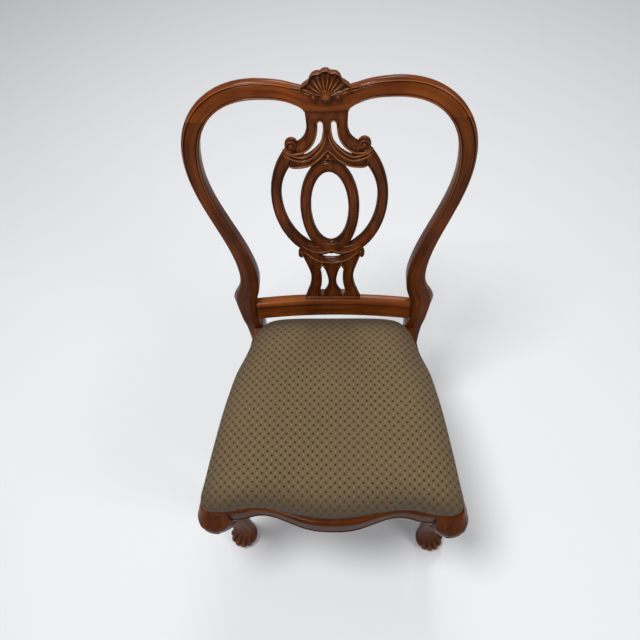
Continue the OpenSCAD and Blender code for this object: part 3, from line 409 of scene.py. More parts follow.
# Each piece gets its own lightness: partly the board's own tone, partly painted light, lighter on
# the crest and the bowed rail, darker on the legs, the front rail and the carving.
crest_wood = polished_wood("polished_wood_crest", 1.3)
deep_wood = polished_wood("polished_wood_deep", 0.76)
leg_wood = polished_wood("polished_wood_leg", 0.74, gloss=0.05)
carved_wood = polished_wood("polished_wood_carved", 0.76)
rail_wood = polished_wood("polished_wood_rail", 1.2)
front_wood = polished_wood("polished_wood_front", 0.66, gloss=0.03)
wood_across = polished_wood("polished_wood_across", 0.85, "x")
wood_back = polished_wood("polished_wood_lengthwise", 0.85, "y")
woods = (crest_wood, deep_wood, leg_wood, carved_wood, rail_wood, front_wood, wood_across,
         wood_back)
print("wood materials:", ", ".join(wood.name for wood in woods))

# %% [markdown]
# ## The posts and the crest
# Both posts and the crest rail share one moulding, so the eye follows it round the whole back.
# It is flat, with a thin bead and a quirk along each edge, and its back is rounded. Each is
# a loft: the section is set across the member again and again along its path. The outline of
# the back is drawn as two edges, an outer and an inner one, and the section stretches between.

# %% Outline of the back
INNER_LOBE_X, INNER_LOBE_Z = LOBE_X - 6.0, LOBE_Z - MEMBER_W - 1.0
INNER_EAR, INNER_EAR_Z = EAR_HALF - MEMBER_W, EAR_Z - 18.0
POST_IN = WAIST_HALF - 33.0
CROSS_HALF = POST_IN + 7.0
INNER_WAIST = WAIST_HALF - WAIST_W
BULGE_OUT, BULGE_IN = 2.15, 2.4


def back_y(z):
    """The plane that the back leans in: a straight line up and back from the rail tops."""
    return POST_Y + RAKE * (z - RAIL_TOP)


def round_shoulder(z, middle_x, half, foot_z, reach, power):
    """Quarter of a bulging ellipse: the shares of width and height, each raised to the power,
    add up to one."""
    share = np.clip((z - foot_z) / reach, 0.0, 1.0)
    return middle_x + half * (1.0 - share ** power) ** (1.0 / power)


def outer_x(z):
    """Half the width over the posts: a table below the waist, an S-curve up to the ear, then
    the round shoulder."""
    low = flow([[0, REAR_FOOT_HALF], [RAIL_BOTTOM - 12, WAIST_HALF + 3],
                [RAIL_TOP + 6, WAIST_HALF + 5.5], [SHOULDER_Z - 50, WAIST_HALF + 13],
                [SHOULDER_Z, SHOULDER_HALF], [SHOULDER_Z + 18, SHOULDER_HALF - 4],
                [SHOULDER_Z + 35, WAIST_HALF + 8.5],
                [SHOULDER_Z + 55, WAIST_HALF + 2.5], [WAIST_Z, WAIST_HALF],
                [WAIST_Z + 15, WAIST_HALF]], z)
    middle = between(WAIST_HALF, EAR_HALF, ease((z - WAIST_Z) / (EAR_Z - WAIST_Z)))
    top = round_shoulder(z, LOBE_X, EAR_HALF - LOBE_X, EAR_Z, LOBE_Z - EAR_Z, BULGE_OUT)
    return np.where(z < WAIST_Z, low, np.where(z < EAR_Z, middle, top))


def inner_x(z):
    """Half the width between the posts, built in the same way as the outer edge."""
    low = flow([[0, REAR_FOOT_HALF - REAR_FOOT], [RAIL_BOTTOM - 12, POST_IN],
                [RAIL_TOP + 6, POST_IN], [CROSS_BOTTOM - 4, CROSS_HALF],
                [CROSS_TOP + 4, CROSS_HALF], [CROSS_TOP + 22, INNER_WAIST + 9],
                [CROSS_TOP + 42, INNER_WAIST + 3], [WAIST_Z - 15, INNER_WAIST],
                [WAIST_Z, INNER_WAIST]], z)
    share = (z - WAIST_Z + 15) / (INNER_EAR_Z - WAIST_Z + 15)
    middle = between(INNER_WAIST, INNER_EAR, ease(share))
    top = round_shoulder(z, INNER_LOBE_X, INNER_EAR - INNER_LOBE_X, INNER_EAR_Z,
                         INNER_LOBE_Z - INNER_EAR_Z, BULGE_IN)
    return np.where(z < WAIST_Z - 15, low, np.where(z < INNER_EAR_Z, middle, top))


def post_front(z):
    """Front face of a post: raked out at the foot, upright at the seat, then the back's plane."""
    low = flow([[0, POST_Y + REAR_RAKE], [100, POST_Y + 0.60 * REAR_RAKE],
                [200, POST_Y + 0.27 * REAR_RAKE], [300, POST_Y + 0.06 * REAR_RAKE],
                [RAIL_BOTTOM - 12, POST_Y], [RAIL_TOP + 6, POST_Y],
                [RAIL_TOP + 45, back_y(RAIL_TOP + 45)], [RAIL_TOP + 75, back_y(RAIL_TOP + 75)]], z)
    return np.where(z > RAIL_TOP + 50, back_y(z), low)


def post_back(z):
    """Back face of a post: a deep section at the seat that thins to the crest's thickness."""
    blend_z = WAIST_Z + 75
    low = flow([[0, POST_Y + REAR_RAKE + REAR_FOOT],
                [100, POST_Y + 0.60 * REAR_RAKE + REAR_FOOT + 5],
                [200, POST_Y + 0.27 * REAR_RAKE + REAR_FOOT + 12],
                [300, POST_Y + 0.06 * REAR_RAKE + 45], [RAIL_BOTTOM - 12, POST_Y + 46],
                [RAIL_TOP, POST_Y + 47], [SHOULDER_Z, POST_Y + 57],
                [SHOULDER_Z + 40, POST_Y + 61.5], [WAIST_Z + 30, POST_Y + 67.5],
                [blend_z, back_y(blend_z) + MEMBER_T],
                [blend_z + 30, back_y(blend_z + 30) + MEMBER_T]], z)
    return np.where(z > blend_z, back_y(z) + MEMBER_T, low)


print("width over the ears:", round(2 * float(outer_x(EAR_Z)), 1), "mm")

# %% The moulding that runs round the back
FACE_P = np.concatenate([np.linspace(0, 0.1, 8), np.linspace(0.115, 0.235, 10),
                         np.linspace(0.27, 0.73, 9), np.linspace(0.765, 0.885, 10),
                         np.linspace(0.9, 1, 8)])
EDGE_ROUND = 6.5
BACK_ROWS = through([[1, 0.3, 0.7], [0.94, 0.5, 1], [0.83, 0.7, 0.8], [0.73, 0.86, 0.5],
                     [0.58, 1, 0], [0.1, 1, 0], [0.02, 0.93, 0], [0, 0.77, 0]], 3)[1:]


def moulding(inner, outer, front, deep, cut, flare):
    """Rings of the moulded section. Across the face the setback is a quarter round at each edge,
    a bell-shaped groove of depth cut beside it and a slight crown; the back is rounded off.
    inner and outer are points [x, z] of the two edges; flare pushes the back's outer corner."""
    p = FACE_P[None, :]
    near = np.minimum(p, 1 - p)
    edge = EDGE_ROUND * rounded_edge(near, 0.1)
    groove = cut[:, None] * (1.25 * bump(near, 0.178, 0.036) - 0.45 * bump(near, 0.115, 0.045))
    setback = edge + groove - 0.7 * np.sin(math.pi * p)
    face = between(inner[:, None, :], outer[:, None, :], p[..., None])
    face = np.stack([face[..., 0], front[:, None] + setback, face[..., 1]], -1)
    b = BACK_ROWS[None, :, :]
    rear = between(inner[:, None, :], outer[:, None, :], b[..., 0:1])
    rear = np.stack([rear[..., 0] + flare[:, None] * b[..., 2],
                     front[:, None] + deep[:, None] * b[..., 1], rear[..., 1]], -1)
    # The grooves darken with dark polish and painted shade, the rounded edges beside them with
    # painted shade, and a line by each bead is lighter with wear and a painted highlight.
    in_edge = np.clip(edge / EDGE_ROUND, 0, 1) * (cut[:, None] > 0.4)
    shade = np.clip(groove / QUIRK, 0, 1) + 0.3 * in_edge
    shade = shade - 0.45 * cut[:, None] * bump(near, 0.105, 0.035)
    return np.concatenate([face, rear], 1), np.concatenate([shade, np.zeros(rear.shape[:2])], 1)


levels = np.concatenate([np.linspace(GLIDE_T, CROSS_BOTTOM - 4, 56)[:-1],
                         np.linspace(CROSS_BOTTOM - 4, WAIST_Z, 40)[:-1],
                         np.linspace(WAIST_Z, CREST_JOINT_Z - FIT, 90)])
post_rings, post_shade = moulding(
    np.stack([inner_x(levels), levels], -1), np.stack([outer_x(levels), levels], -1),
    post_front(levels), post_back(levels) - post_front(levels),
    QUIRK * ease((levels - WAIST_Z - 80) / 180), 7 * ease(1 - np.abs(levels - SHOULDER_Z) / 68))
post = surface(post_rings, post_shade)
right_post = piece("right_back_post", [post], deep_wood)
left_post = piece("left_back_post", [mirrored(post)], deep_wood)
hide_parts("right_rear_post")
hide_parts("left_rear_post")

# %% The crest rail
def shoulder_arc(middle_x, half, foot_z, reach, power, steps):
    """The round shoulder from the post's joint up to the lobe, in equal steps of its angle."""
    start = math.asin(((CREST_JOINT_Z - foot_z) / reach) ** (power / 2))
    w = np.linspace(start, math.pi / 2, steps + 1)
    return np.stack([middle_x + half * np.clip(np.cos(w), 0, 1) ** (2 / power),
                     foot_z + reach * np.sin(w) ** (2 / power)], -1)


ARC_STEPS, NECK_HALF = 54, 38.4
arcs = np.concatenate([
    shoulder_arc(LOBE_X, EAR_HALF - LOBE_X, EAR_Z, LOBE_Z - EAR_Z, BULGE_OUT, ARC_STEPS),
    shoulder_arc(INNER_LOBE_X, INNER_EAR - INNER_LOBE_X, INNER_EAR_Z, INNER_LOBE_Z - INNER_EAR_Z,
                 BULGE_IN, ARC_STEPS)], 1)[:-1]
bend = through([[LOBE_X, LOBE_Z, INNER_LOBE_X, INNER_LOBE_Z],
                [96, LOBE_Z - 1.5, 90, INNER_LOBE_Z - 0.8],
                [74, LOBE_Z - 4.5, 69, INNER_LOBE_Z - 4.5],
                [57, between(LOBE_Z, DIP_Z, 0.38), 51, INNER_LOBE_Z - 11.5],
                [44, between(LOBE_Z, DIP_Z, 0.52), 41.5, SPLAT_JOINT_Z + 5],
                [39, between(LOBE_Z, DIP_Z, 0.58), NECK_HALF, SPLAT_JOINT_Z]], 10)
u = np.linspace(1, 0, 13)[1:]
middle = np.stack([39 * u, between(DIP_Z, between(LOBE_Z, DIP_Z, 0.58), u * u), NECK_HALF * u,
                   np.full_like(u, SPLAT_JOINT_Z)], -1)
half_path = np.concatenate([arcs, bend, middle])
crest_path = np.concatenate([half_path, half_path[-2::-1] * [-1, 1, -1, 1]])
level = np.zeros(len(crest_path))
crest_rings, crest_shade = moulding(
    crest_path[:, 2:4], crest_path[:, 0:2], level, level + MEMBER_T,
    QUIRK * ease((np.abs(crest_path[:, 0]) - 44) / 30), level)
crest_rings[..., 1] += back_y(crest_rings[..., 2])
crest = piece("crest_rail_moulded", [surface(crest_rings, crest_shade)], crest_wood)
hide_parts("crest_rail")

# %% [markdown]
# ## The pierced splat
# The splat is the piece that takes the most skill. On the real chair it is sawn from one board
# and carved, so that straps seem to cross over each other and end in scrolls. Each strap here
# is a carved band between two edges. A band's face has a profile of its own: a rounded middle
# between two thin beads, or a plain face over which thin beads are laid one by one. Bands that
# pass over others stand a little prouder. The splat could be cut as holes in a board instead,
# but then its carving would have to be painted on, and grooves that catch no light look false.

# %% Faces and heights of the splat
SPLAT_TOP, SPLAT_FOOT = SPLAT_JOINT_Z - FIT, CROSS_TOP + FIT
DRAWN_H, SETBACK_FOOT, SETBACK_TOP = 452.7, 20.0, 5.0
STRETCH = (SPLAT_TOP - SPLAT_FOOT) / DRAWN_H


def from_foot(h):
    """A drawn height counted up from the splat's foot."""
    return SPLAT_FOOT + h * STRETCH


def from_top(h):
    """A drawn height counted down from the splat's top."""
    return SPLAT_TOP - h * STRETCH


def splat_y(z):
    """The splat's face: a straight line from 20 mm behind the posts' front at its foot to 5 mm
    behind the crest's face at its top."""
    return between(back_y(CROSS_TOP) + SETBACK_FOOT, back_y(SPLAT_JOINT_Z) + SETBACK_TOP,
                   (z - CROSS_TOP) / (SPLAT_JOINT_Z - CROSS_TOP))


def strap_face(p):
    """Height of the plain strap's carving at a share p of its width: a bead at each edge, a thin
    groove beside it, and a long low swell between."""
    near = np.minimum(p, 1 - p)
    edge = -4.6 * rounded_edge(near, 0.08)
    swell = 2.0 * np.clip(np.sin(math.pi * (p - 0.16) / 0.68), 0, 1) ** 0.7 * (near > 0.16)
    return edge - 1.5 * bump(near, 0.175, 0.05) + swell - 0.4


def flat_face(p):
    """Flat, with a small quarter round at each edge."""
    return -3.0 * rounded_edge(np.minimum(p, 1 - p), 0.06)


def plate_face(p):
    """Flat from the joint down, then eased back into the carving under it."""
    return -1.9 * ease((p - 0.3) / 0.7)


STRAP_P = (1 - np.cos(np.linspace(0, math.pi, 41))) / 2
REAR_P = np.array([[1, 0.6], [0.97, 0.8], [0.88, 1], [0.5, 1], [0.12, 1], [0.03, 0.8], [0, 0.6]])


def band(edges, face=strap_face, lift=0.0, loop=False, dark=1.0):
    """A carved member between two edges, given as rows [x, z, x, z]: its face stands in front of
    the splat's plane by the profile and the lift, and its back is flat with eased corners. A
    lift for each row lets a band sink under its neighbour at its end."""
    e = np.asarray(edges, float)
    lift = np.broadcast_to(lift, len(e))[:, None]
    a, b = e[:, None, 0:2], e[:, None, 2:4]
    front = between(a, b, STRAP_P[None, :, None])
    carved = face(STRAP_P)[None, :] + lift
    rear = between(a, b, REAR_P[None, :, 0:1])
    points = np.concatenate([
        np.stack([front[..., 0], splat_y(front[..., 1]) - carved, front[..., 1]], -1),
        np.stack([rear[..., 0], splat_y(rear[..., 1]) + SPLAT_T * REAR_P[None, :, 1],
                  rear[..., 1]], -1)], 1)
    # Recessed parts of a band are darkened by dark polish and painted shade, unless dark is 0 as
    # on the plate, and the strap's bead crests are lighter with wear and a painted highlight.
    near = np.minimum(STRAP_P, 1 - STRAP_P)[None, :]
    wear_and_highlight = 0.4 * bump(near, 0.085, 0.035) * (face is strap_face)
    shade = (dark * np.clip((0.4 - carved + lift) / 2.4, 0, 1) - wear_and_highlight) * np.ones((len(e), 1))
    shade = np.concatenate([shade, np.zeros((len(e), len(REAR_P)))], 1)
    return surface(points, shade, loop=loop, straight="z")


def whole(half):
    """Both halves of a band whose rows start at the middle of the chair."""
    half = np.asarray(half, float)
    return np.concatenate([half[:0:-1] * [-1, 1, -1, 1], half])


def oval(middle, half, up, down, degrees):
    """A point of an upright oval whose reach up and reach down differ."""
    w = np.radians(degrees)
    return np.stack([half * np.cos(w), middle + np.where(w < 0, down, up) * np.sin(w)], -1)


print("the splat is", round(SPLAT_TOP - SPLAT_FOOT, 1), "mm high")

# %% The two crossing ovals
OVAL_HALF, OVAL_BAND, RING_HALF, RING_BAND = 114.0, 22.5, 58.5, 22.0
brace = through([[0, 137.5, 0, 149], [9, 133, 8, 149.5], [18, 130.6, 16, 151],
                 [30, 130.1, 25, 154], [42, 132.8, 34, 158.3], [54, 138.6, 43, 163.9],
                 [66, 147.4, 51, 170.8]], 6)
brace[:, [1, 3]] = from_foot(brace[:, [1, 3]])
outer_w, inner_w = np.linspace(-50, 50, 73), np.linspace(-51, 41, 73)
side = np.concatenate([
    oval(from_foot(273), OVAL_HALF, 148 * STRETCH, 154 * STRETCH, outer_w),
    oval(from_foot(279), OVAL_HALF - OVAL_BAND + 1, 103 * STRETCH, 130 * STRETCH, inner_w)], 1)
outer_oval = band(whole(np.concatenate([brace[:-3], side])))
turn = 180 - np.arange(160) * 360 / 160
turn = np.where(turn > 180, turn - 360, turn)
inner_ring = band(np.concatenate([
    oval(from_foot(252), RING_HALF, 105.5 * STRETCH, 118 * STRETCH, turn),
    oval(from_foot(250.6), RING_HALF - RING_BAND, 82 * STRETCH, 82 * STRETCH, turn)], 1),
    lift=1.1, loop=True)

# %% The neck, the yoke under it and the fan of bars at the foot
def rows_from(measure, rows, steps):
    """Edges given as [x, height, x, height], smoothed, with heights counted by a measure."""
    r = through(rows, steps)
    r[:, [1, 3]] = measure(r[:, [1, 3]])
    return r


neck = rows_from(from_top, [[NECK_HALF, 0, 17, 0], [37.2, 11, 17, 16], [36.6, 29, 17, 36],
                            [38.3, 39, 19.6, 50], [43.3, 50, 26, 64], [52, 58, 36, 75],
                            [63, 64, 50, 82]], 12)
yoke = rows_from(from_top, [[7.6, 0, -1, 0], [7.6, 26, -1, 30], [7.8, 42, -1, 50],
                            [10.4, 55.5, -1, 65], [14, 63, 0, 78], [19.5, 70, 8, 85],
                            [27.5, 77.5, 18, 95.5], [36, 83.5, 28, 103.5], [44, 86.3, 39, 109],
                            [52, 80, 51, 111.5], [64, 72, 65, 112], [81, 75, 77, 111.8]], 8)
bar = rows_from(from_foot, [[62.2, 126, 20, 126], [52.9, 97, 20.5, 97], [49.6, 86, 24.9, 87],
                            [47.2, 73, 23.5, 75], [47.4, 58, 23, 56], [50.6, 40, 24.3, 41],
                            [55.0, 27, 27, 27], [59.4, 14, 27.4, 16], [62.3, 5, 27.4, 6],
                            [62.6, 0, 27.4, 0]], 8)
centre_bar = rows_from(from_foot, [[-x, h, x, h] for x, h in (
    (20.6, 108), (20.6, 97), (16.2, 87), (12.4, 75), (9.3, 58), (9.4, 44), (13.6, 30),
    (20.4, 17.4), (20.6, 0))], 8)
cradle = rows_from(from_foot, [[0, 119.3, 0, 104.5], [10, 119.6, 9.5, 105], [19, 122.3, 18, 106.6],
                               [30, 131, 27, 109.8], [43, 140, 39, 116], [54, 148, 50, 124.5],
                               [66, 158, 60, 136]], 8)
ground = rows_from(from_top, [[0, 72, 0, 102], [14, 80, 14, 104], [26, 97, 26, 109],
                              [33, 104, 32, 113]], 6)
sunk = -3.5 * ease((np.linspace(0, 1, len(yoke)) - 0.74) / 0.26)
half_bands = [band(neck), band(yoke, flat_face, -0.6 + sunk), band(bar),
              band([[29.3, from_foot(17.6), 18.2, from_foot(17.6)],
                    [29.3, SPLAT_FOOT, 18.2, SPLAT_FOOT]], flat_face, 0.4)]
# The plate under the crest ends in an arch over each slit.
plate_low = ((0, 34), (5.6, 32), (6.4, 27), (7.4, 22.6), (9.2, 19.9), (12, 18.9), (14.8, 19.9),
             (16.6, 22.6), (17.6, 27), (19, 24), (23, 19), (29, 14), (36.6, 10))
plate = whole([[x, SPLAT_TOP, x, from_top(low)] for x, low in plate_low])
foot_bead = [[x, from_foot(5), x, SPLAT_FOOT] for x in np.linspace(-62, 62, 40)]
cross_bands = [band(plate, plate_face, 1.7, dark=0.0), band(whole(ground), flat_face, -2.6),
               band(centre_bar), band(whole(cradle), flat_face, 0.2),
               band(foot_bead, strap_face, 1.4)]
print("bands on each half:", len(half_bands), "and across:", len(cross_bands))

# %% Scrolls and thin beads
SCROLL_STEPS = 72


def scroll(x, z, r):
    """A disc with a volute on its face: a half-round ridge whose distance from the eye shrinks as
    it turns from the bottom out, over the top and in, and a round eye in the middle."""
    d = np.linspace(0, 1, 30)[:, None]
    turn = np.linspace(0, 1, SCROLL_STEPS, endpoint=False)[None, :]
    w = 2 * math.pi * turn - math.pi / 2
    path = 0.84 - 0.12 * turn - 0.34 * ease((turn - 0.55) / 0.45)
    ridge = 3.0 * half_round((d - path) / 0.17) * ease((1.02 - turn) * 6)
    eye = 3.6 * half_round(d / 0.42)
    face = np.maximum(ridge, eye) - 4.0 * ease((d - 0.88) / 0.12)
    once = np.ones_like(w)
    shape = np.concatenate([face + 0.2, -SPLAT_T * 0.8 * once, -SPLAT_T * once])
    radius = np.concatenate([d * once, once, 0.93 * once]) * r
    px, pz = x + radius * np.cos(w), z + radius * np.sin(w)
    shade = np.clip((1.4 - shape) / 1.6, 0, 1) * (shape > -3)
    return surface(np.stack([px, splat_y(pz) - shape, pz], -1)[1:], shade[1:], straight="z")


def ridge_shade(w, rows, dark, fall, wear_and_highlight):
    """Tone round a ridge's section: dark at its foot with dark polish and painted shade,
    lighter along its top with wear and a painted highlight.
    """
    return (np.clip(dark - fall * np.sin(w), 0, 1)
            - wear_and_highlight * ease((np.sin(w) - 0.55) / 0.4)) * np.ones_like(rows)


def bead(measure, points, width, lift=0.6, height=1.8):
    """A thin half-round ridge on the splat's face along a path of [x, height], whose heights are
    counted by a measure. It tapers to its ends, is darkened along its sides by dark polish and
    painted shade, and is lighter along its top with wear and a painted highlight."""
    p = through(points, 8)
    p[:, 1] = measure(p[:, 1])
    along = np.gradient(p, axis=0)
    side = np.stack([-along[:, 1], along[:, 0]], -1) / np.linalg.norm(along, axis=1)[:, None]
    share = np.linspace(0, 1, len(p))
    taper = np.sqrt(np.clip(np.minimum(share, 1 - share) / 0.14, 0.03, 1))[:, None]
    w = circle(16)
    across = p[:, None, :] + side[:, None, :] * (np.cos(w) * taper * width / 2)[..., None]
    out = lift + height * np.sin(w) * (0.35 + 0.65 * taper)
    return surface(np.stack([across[..., 0], splat_y(across[..., 1]) - out, across[..., 1]], -1),
                   ridge_shade(w, taper, 0.9, 2.2, 0.5), straight="z")


def both_ways(half):
    """A path that runs from the left to the right, from its right half given from the end in."""
    return [[-x, h] for x, h in half] + half[-2::-1]


scrolls = [scroll(66, from_top(66), 12.4), scroll(62.2, from_foot(134.5), 8.6)]
yoke_beads = [
    bead(from_top, [[6.2, 22], [6.0, 36], [9.0, 53], [14.6, 63.5], [22.5, 72], [31, 80],
                    [39, 85.2], [47, 87.8], [55, 87.2], [63, 84.6], [71, 81], [77.5, 76.8],
                    [82.5, 71]], 4.4, 0.4, 2.3),
    bead(from_top, [[1.6, 42], [5, 56], [9.4, 66], [15, 75], [22, 83], [31, 90], [40, 94.2],
                    [50, 95.7], [60, 93.6], [69, 89.8], [77, 84.6], [83, 79]], 4.2, 0.3, 2.2),
    bead(from_top, [[0, 74.6], [4, 78], [9, 82.8], [18, 92.4], [28, 100.4], [39, 105.8],
                    [51, 108.2], [64, 108.6], [72, 107.4]], 4.4, 0.2, 2.4)]
neck_beads = [
    bead(from_top, [[5.9, 26], [6.4, 21], [8.6, 17.6], [11.9, 16.3], [15.2, 17.6], [17.4, 21],
                    [17.9, 26]], 3.2, 1.6),
    bead(from_top, [[19.4, 27], [19.5, 38], [22.3, 50], [28.6, 62.5], [38, 72.6], [48, 78.6],
                    [58, 80.2], [67, 79.6], [74, 76], [78, 70]], 4.2, 0.8, 2.3)]
foot_beads = [
    bead(from_foot, [[13.6, 97], [16, 100.6], [21, 101.6], [26, 100.4], [28, 97]], 3.0, 1.2),
    bead(from_foot, [[21, 109], [21, 104]], 5.0, 1.4, 1.8),
    bead(from_foot, [[23.7, 19], [23.7, 11]], 6.0, 1.2, 2.0),
    bead(from_foot, [[24, 155.6], [32, 156.2], [40, 158.4], [47, 161.6]], 2.6, 1.6)]
middle_beads = [
    bead(from_foot, both_ways([[60, 7.2], [30, 6.8], [0, 6.6]]), 3.4, 1.9, 2.0),
    bead(from_top, [[0, 81.5], [0, 85], [0, 88.5]], 6.6, 1.0, 3.0),
    bead(from_top, both_ways([[6.5, 93.5], [0, 90.6]]), 2.4, 0.4),
    bead(from_foot, both_ways([[14, 168.6], [7, 164.4], [0, 163.2]]), 3.0, 2.0, 1.6),
    bead(from_foot, both_ways([[3.4, 169.4], [0, 168.8]]), 3.4, 2.4, 1.6),
    bead(from_foot, both_ways([[9, 118.2], [0, 117.2]]), 3.4, 0.8, 1.6),
    bead(from_foot, both_ways([[57, 141], [46, 130.4], [33, 118.8], [16, 112.9], [0, 111.4]]),
         5.0, 0.6, 2.6),
    bead(from_foot, both_ways([[62, 158], [50, 149.4], [38, 142.6], [28, 139.8], [17, 140.2],
                               [8, 142.8], [0, 146.8]]), 3.8, 1.0, 2.2)]
halves = half_bands + scrolls + yoke_beads + neck_beads + foot_beads
splat_parts = ([outer_oval, inner_ring] + halves + [mirrored(h) for h in halves]
               + cross_bands + middle_beads)
splat = piece("carved_splat", splat_parts, carved_wood, 60.0)
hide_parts("back_splat")

# %% [markdown]
# ## The carved shell
# A shell sits on the crest between its two lobes. Its flutes fan out from a small palmette and
# end in a thick scalloped rim, and a curl stands at each side of the palmette. A fan like this
# is easiest as a polar surface: the angle runs along the rim and the distance runs outward, so
# each flute is a wave of the angle.

# %% The shell
SHELL_Z, SHELL_FLUTES, SHELL_START, SHELL_END = LOBE_Z - 24.0, 9, 12.0, 168.0
SHELL_RIM = [[14, 44.5], [20, 44.0], [28, 40.6], [34, 38.6], [39, 37.4], [44, 38.4],
             [52, 40.6], [60, 41.0], [68, 39.8], [75, 38.2], [80, 39.6], [84, 40.8], [90, 41.3]]
SHELL_FACE = [[0.0, -4.8], [0.25, -4.2], [0.45, -3.2], [0.62, -2.2], [0.80, -1.0],
              [0.91, -0.8], [0.945, -2.8], [0.97, -5.2], [0.985, -5.4], [1.0, -4.2]]
SHELL_REACH = np.concatenate([np.linspace(0.06, 0.9, 26), [
    0.92, 0.935, 0.95, 0.965, 0.98, 0.99, 1.0, 1.0, 0.985, 0.95, 0.90, 0.82, 0.5, 0.06]])[None, :]
SHELL_BACK = np.array([-1.0, 3.0, 7.5, 11.5, 14.5, 16.0, 16.0])


def on_back(x, n, z):
    """A point n behind the face of the crest, with z measured up from the shell's centre."""
    return np.stack([x, back_y(SHELL_Z + z) + n, SHELL_Z + z], -1)


def shell_fan():
    """The rim's radius by angle has one lobe at the top, one on each shoulder and one at each
    side. The face falls from the proud rim into a hollow and climbs to the palmette, with a
    thin ridge between each pair of flutes; behind the rim the shell narrows to its back."""
    degrees = np.linspace(SHELL_START, SHELL_END, 24 * SHELL_FLUTES + 1)[:, None]
    w, d = np.radians(degrees), SHELL_REACH
    rim = flow(SHELL_RIM, 90 - np.abs(90 - degrees))
    share = (degrees - SHELL_START) / (SHELL_END - SHELL_START)
    ridge = np.abs(np.cos(math.pi * SHELL_FLUTES * share)) ** 2.6
    face = flow(SHELL_FACE, np.minimum(d, 1.0))
    n = face - 2.3 * ridge * ease(d / 0.2) * ease((0.94 - d) / 0.14)
    n[:, -len(SHELL_BACK):] = SHELL_BACK
    # Painted shade, with dark polish, fills the hollow inside the rim and the flutes between the
    # ridges; the ridges and the rim's top are lighter, with wear and a painted highlight.
    dark = (1 - ridge) * 0.75 * ease((0.95 - d) / 0.05) + 0.8 * bump(d, 0.9, 0.09)
    ridge_wear_and_highlight = 0.8 * ridge ** 3 * ease(d / 0.2) * ease((0.8 - d) / 0.3)
    shade = np.clip(dark, 0, 1) - ridge_wear_and_highlight - 0.5 * bump(d, 0.985, 0.03)
    shade[:, -len(SHELL_BACK):] = 0
    return surface(on_back(rim * d * np.cos(w), n, rim * d * np.sin(w)), shade, straight="x")


def boss(x, z, r, height, base=3.0, eye=0.0):
    """A round boss on the crest: a dome whose height is a quarter circle of the distance, with a
    dished ring round its eye where it is a curl. Dark polish and painted shade darken its foot
    and that ring, and a painted highlight lightens its top."""
    d = np.linspace(0, 1, 18)[:, None]
    w = circle(40)
    n = -base - height * half_round(d) + eye * bump(d, 0.55, 0.22)
    n = n + (base + 2.5) * ease((d - 0.95) / 0.05)
    points = on_back(x + r * d * np.cos(w), n * np.ones_like(w), z + r * d * np.sin(w))
    dark = ease((d - 0.86) / 0.14) + (eye > 0) * 0.8 * bump(d, 0.55, 0.25)
    shade = (np.clip(dark, 0, 1) - 0.3 * (d < 0.5)) * np.ones_like(w)
    return surface(points[1:], shade[1:], straight="x")


def sweep(side, path, width, height):
    """A ridge on the crest's face along a path of [x, z], thin where it starts and full where it
    reaches the curl."""
    p = through(path, 10)
    v = circle(14)
    fat = np.sqrt(np.linspace(0.08, 1, len(p)))[:, None]
    across = width / 2 * fat * np.cos(v)
    points = on_back(side * (p[:, :1] - 0.45 * across), -0.5 - height * fat * np.sin(v),
                     p[:, 1:] + 0.9 * across)
    return surface(points, ridge_shade(v, fat, 0.8, 2, 0.6), straight="x")


shell_parts = [shell_fan(), boss(0, 1.0, 10.4, 5.6, 4.4)]
for side in (-1, 1):
    shell_parts += [boss(side * 20.6, -0.6, 6.6, 3.4, 4.4, 1.8),
                    sweep(side, [[58, 8.6], [50, 7.0], [42, 5.8], [34, 4.0], [27, 1.4]], 3.6, 3.0),
                    sweep(side, [[60, 14.0], [52, 12.4], [44, 11.4], [36, 9.8], [28, 6.4],
                                 [23.5, 3.0]], 3.6, 3.6)]
shell = piece("carved_shell", shell_parts, deep_wood, 60.0)
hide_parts("crest_shell")

# %% [markdown]
# ## The rails that are carved
# The lower back rail is bowed back in plan and has a bead along its face. The front rail is
# serpentine: its face swings in beside the middle and its lower edge rises there. Both are
# lofts of one section along x. The side and rear rails are plain, so their solids stay.

# %% The lower back rail
bow_r = (CROSS_HALF ** 2 + CROSS_BOW ** 2) / (2 * CROSS_BOW)
x = np.linspace(FIT - CROSS_HALF, CROSS_HALF - FIT, 90)[:, None]
bow = np.sqrt(bow_r ** 2 - x ** 2) - bow_r
face = through([[0, 4], [1.2, 1.2], [4, 0], [CROSS_H - 15, 0], [CROSS_H - 13.5, 1.3],
                [CROSS_H - 11.5, 0], [CROSS_H - 8, -0.8], [CROSS_H - 4, 0.2], [CROSS_H - 1, 2.6],
                [CROSS_H, 6]], 5)
rear = np.array([[CROSS_H, 12.0], [CROSS_H, CROSS_T - 4], [CROSS_H - 1.2, CROSS_T - 1.2],
                 [CROSS_H - 4, CROSS_T], [4, CROSS_T], [1.2, CROSS_T - 1.2], [0, CROSS_T - 4],
                 [0, 12.0]])
section = np.concatenate([face, rear])[None]
z = CROSS_BOTTOM + section[..., 0] * np.ones_like(x)
y = back_y(z) + 1.5 + CROSS_BOW + bow + section[..., 1]
# The groove in the face is darkened by dark polish and painted shade.
groove = bump(section[..., 0], CROSS_H - 13.5, 2.6) * (section[..., 1] < 6)
lower_part = surface(np.stack([x * np.ones_like(z), y, z], -1), groove)
lower_rail = piece("bowed_back_rail", [lower_part], rail_wood)
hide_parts("lower_back_rail")

# %% The serpentine front rail
FRONT_Y = POST_Y - SEAT_DEPTH
LEG_FACE_X, LEG_FACE_Y = KNEE_X - 30.0, KNEE_Y + 35.0


def face_y(x):
    """Plan of the front rail's face, as a table of shares of the serpentine's depth."""
    shares = [[0, 0], [30, 0.05], [60, 0.25], [86, 0.54], [116, 0.86], [140, 1], [160, 0.98],
              [185, 0.80], [LEG_FACE_X, 0.72]]
    return FRONT_Y + SERPENTINE * flow(shares, np.abs(x))


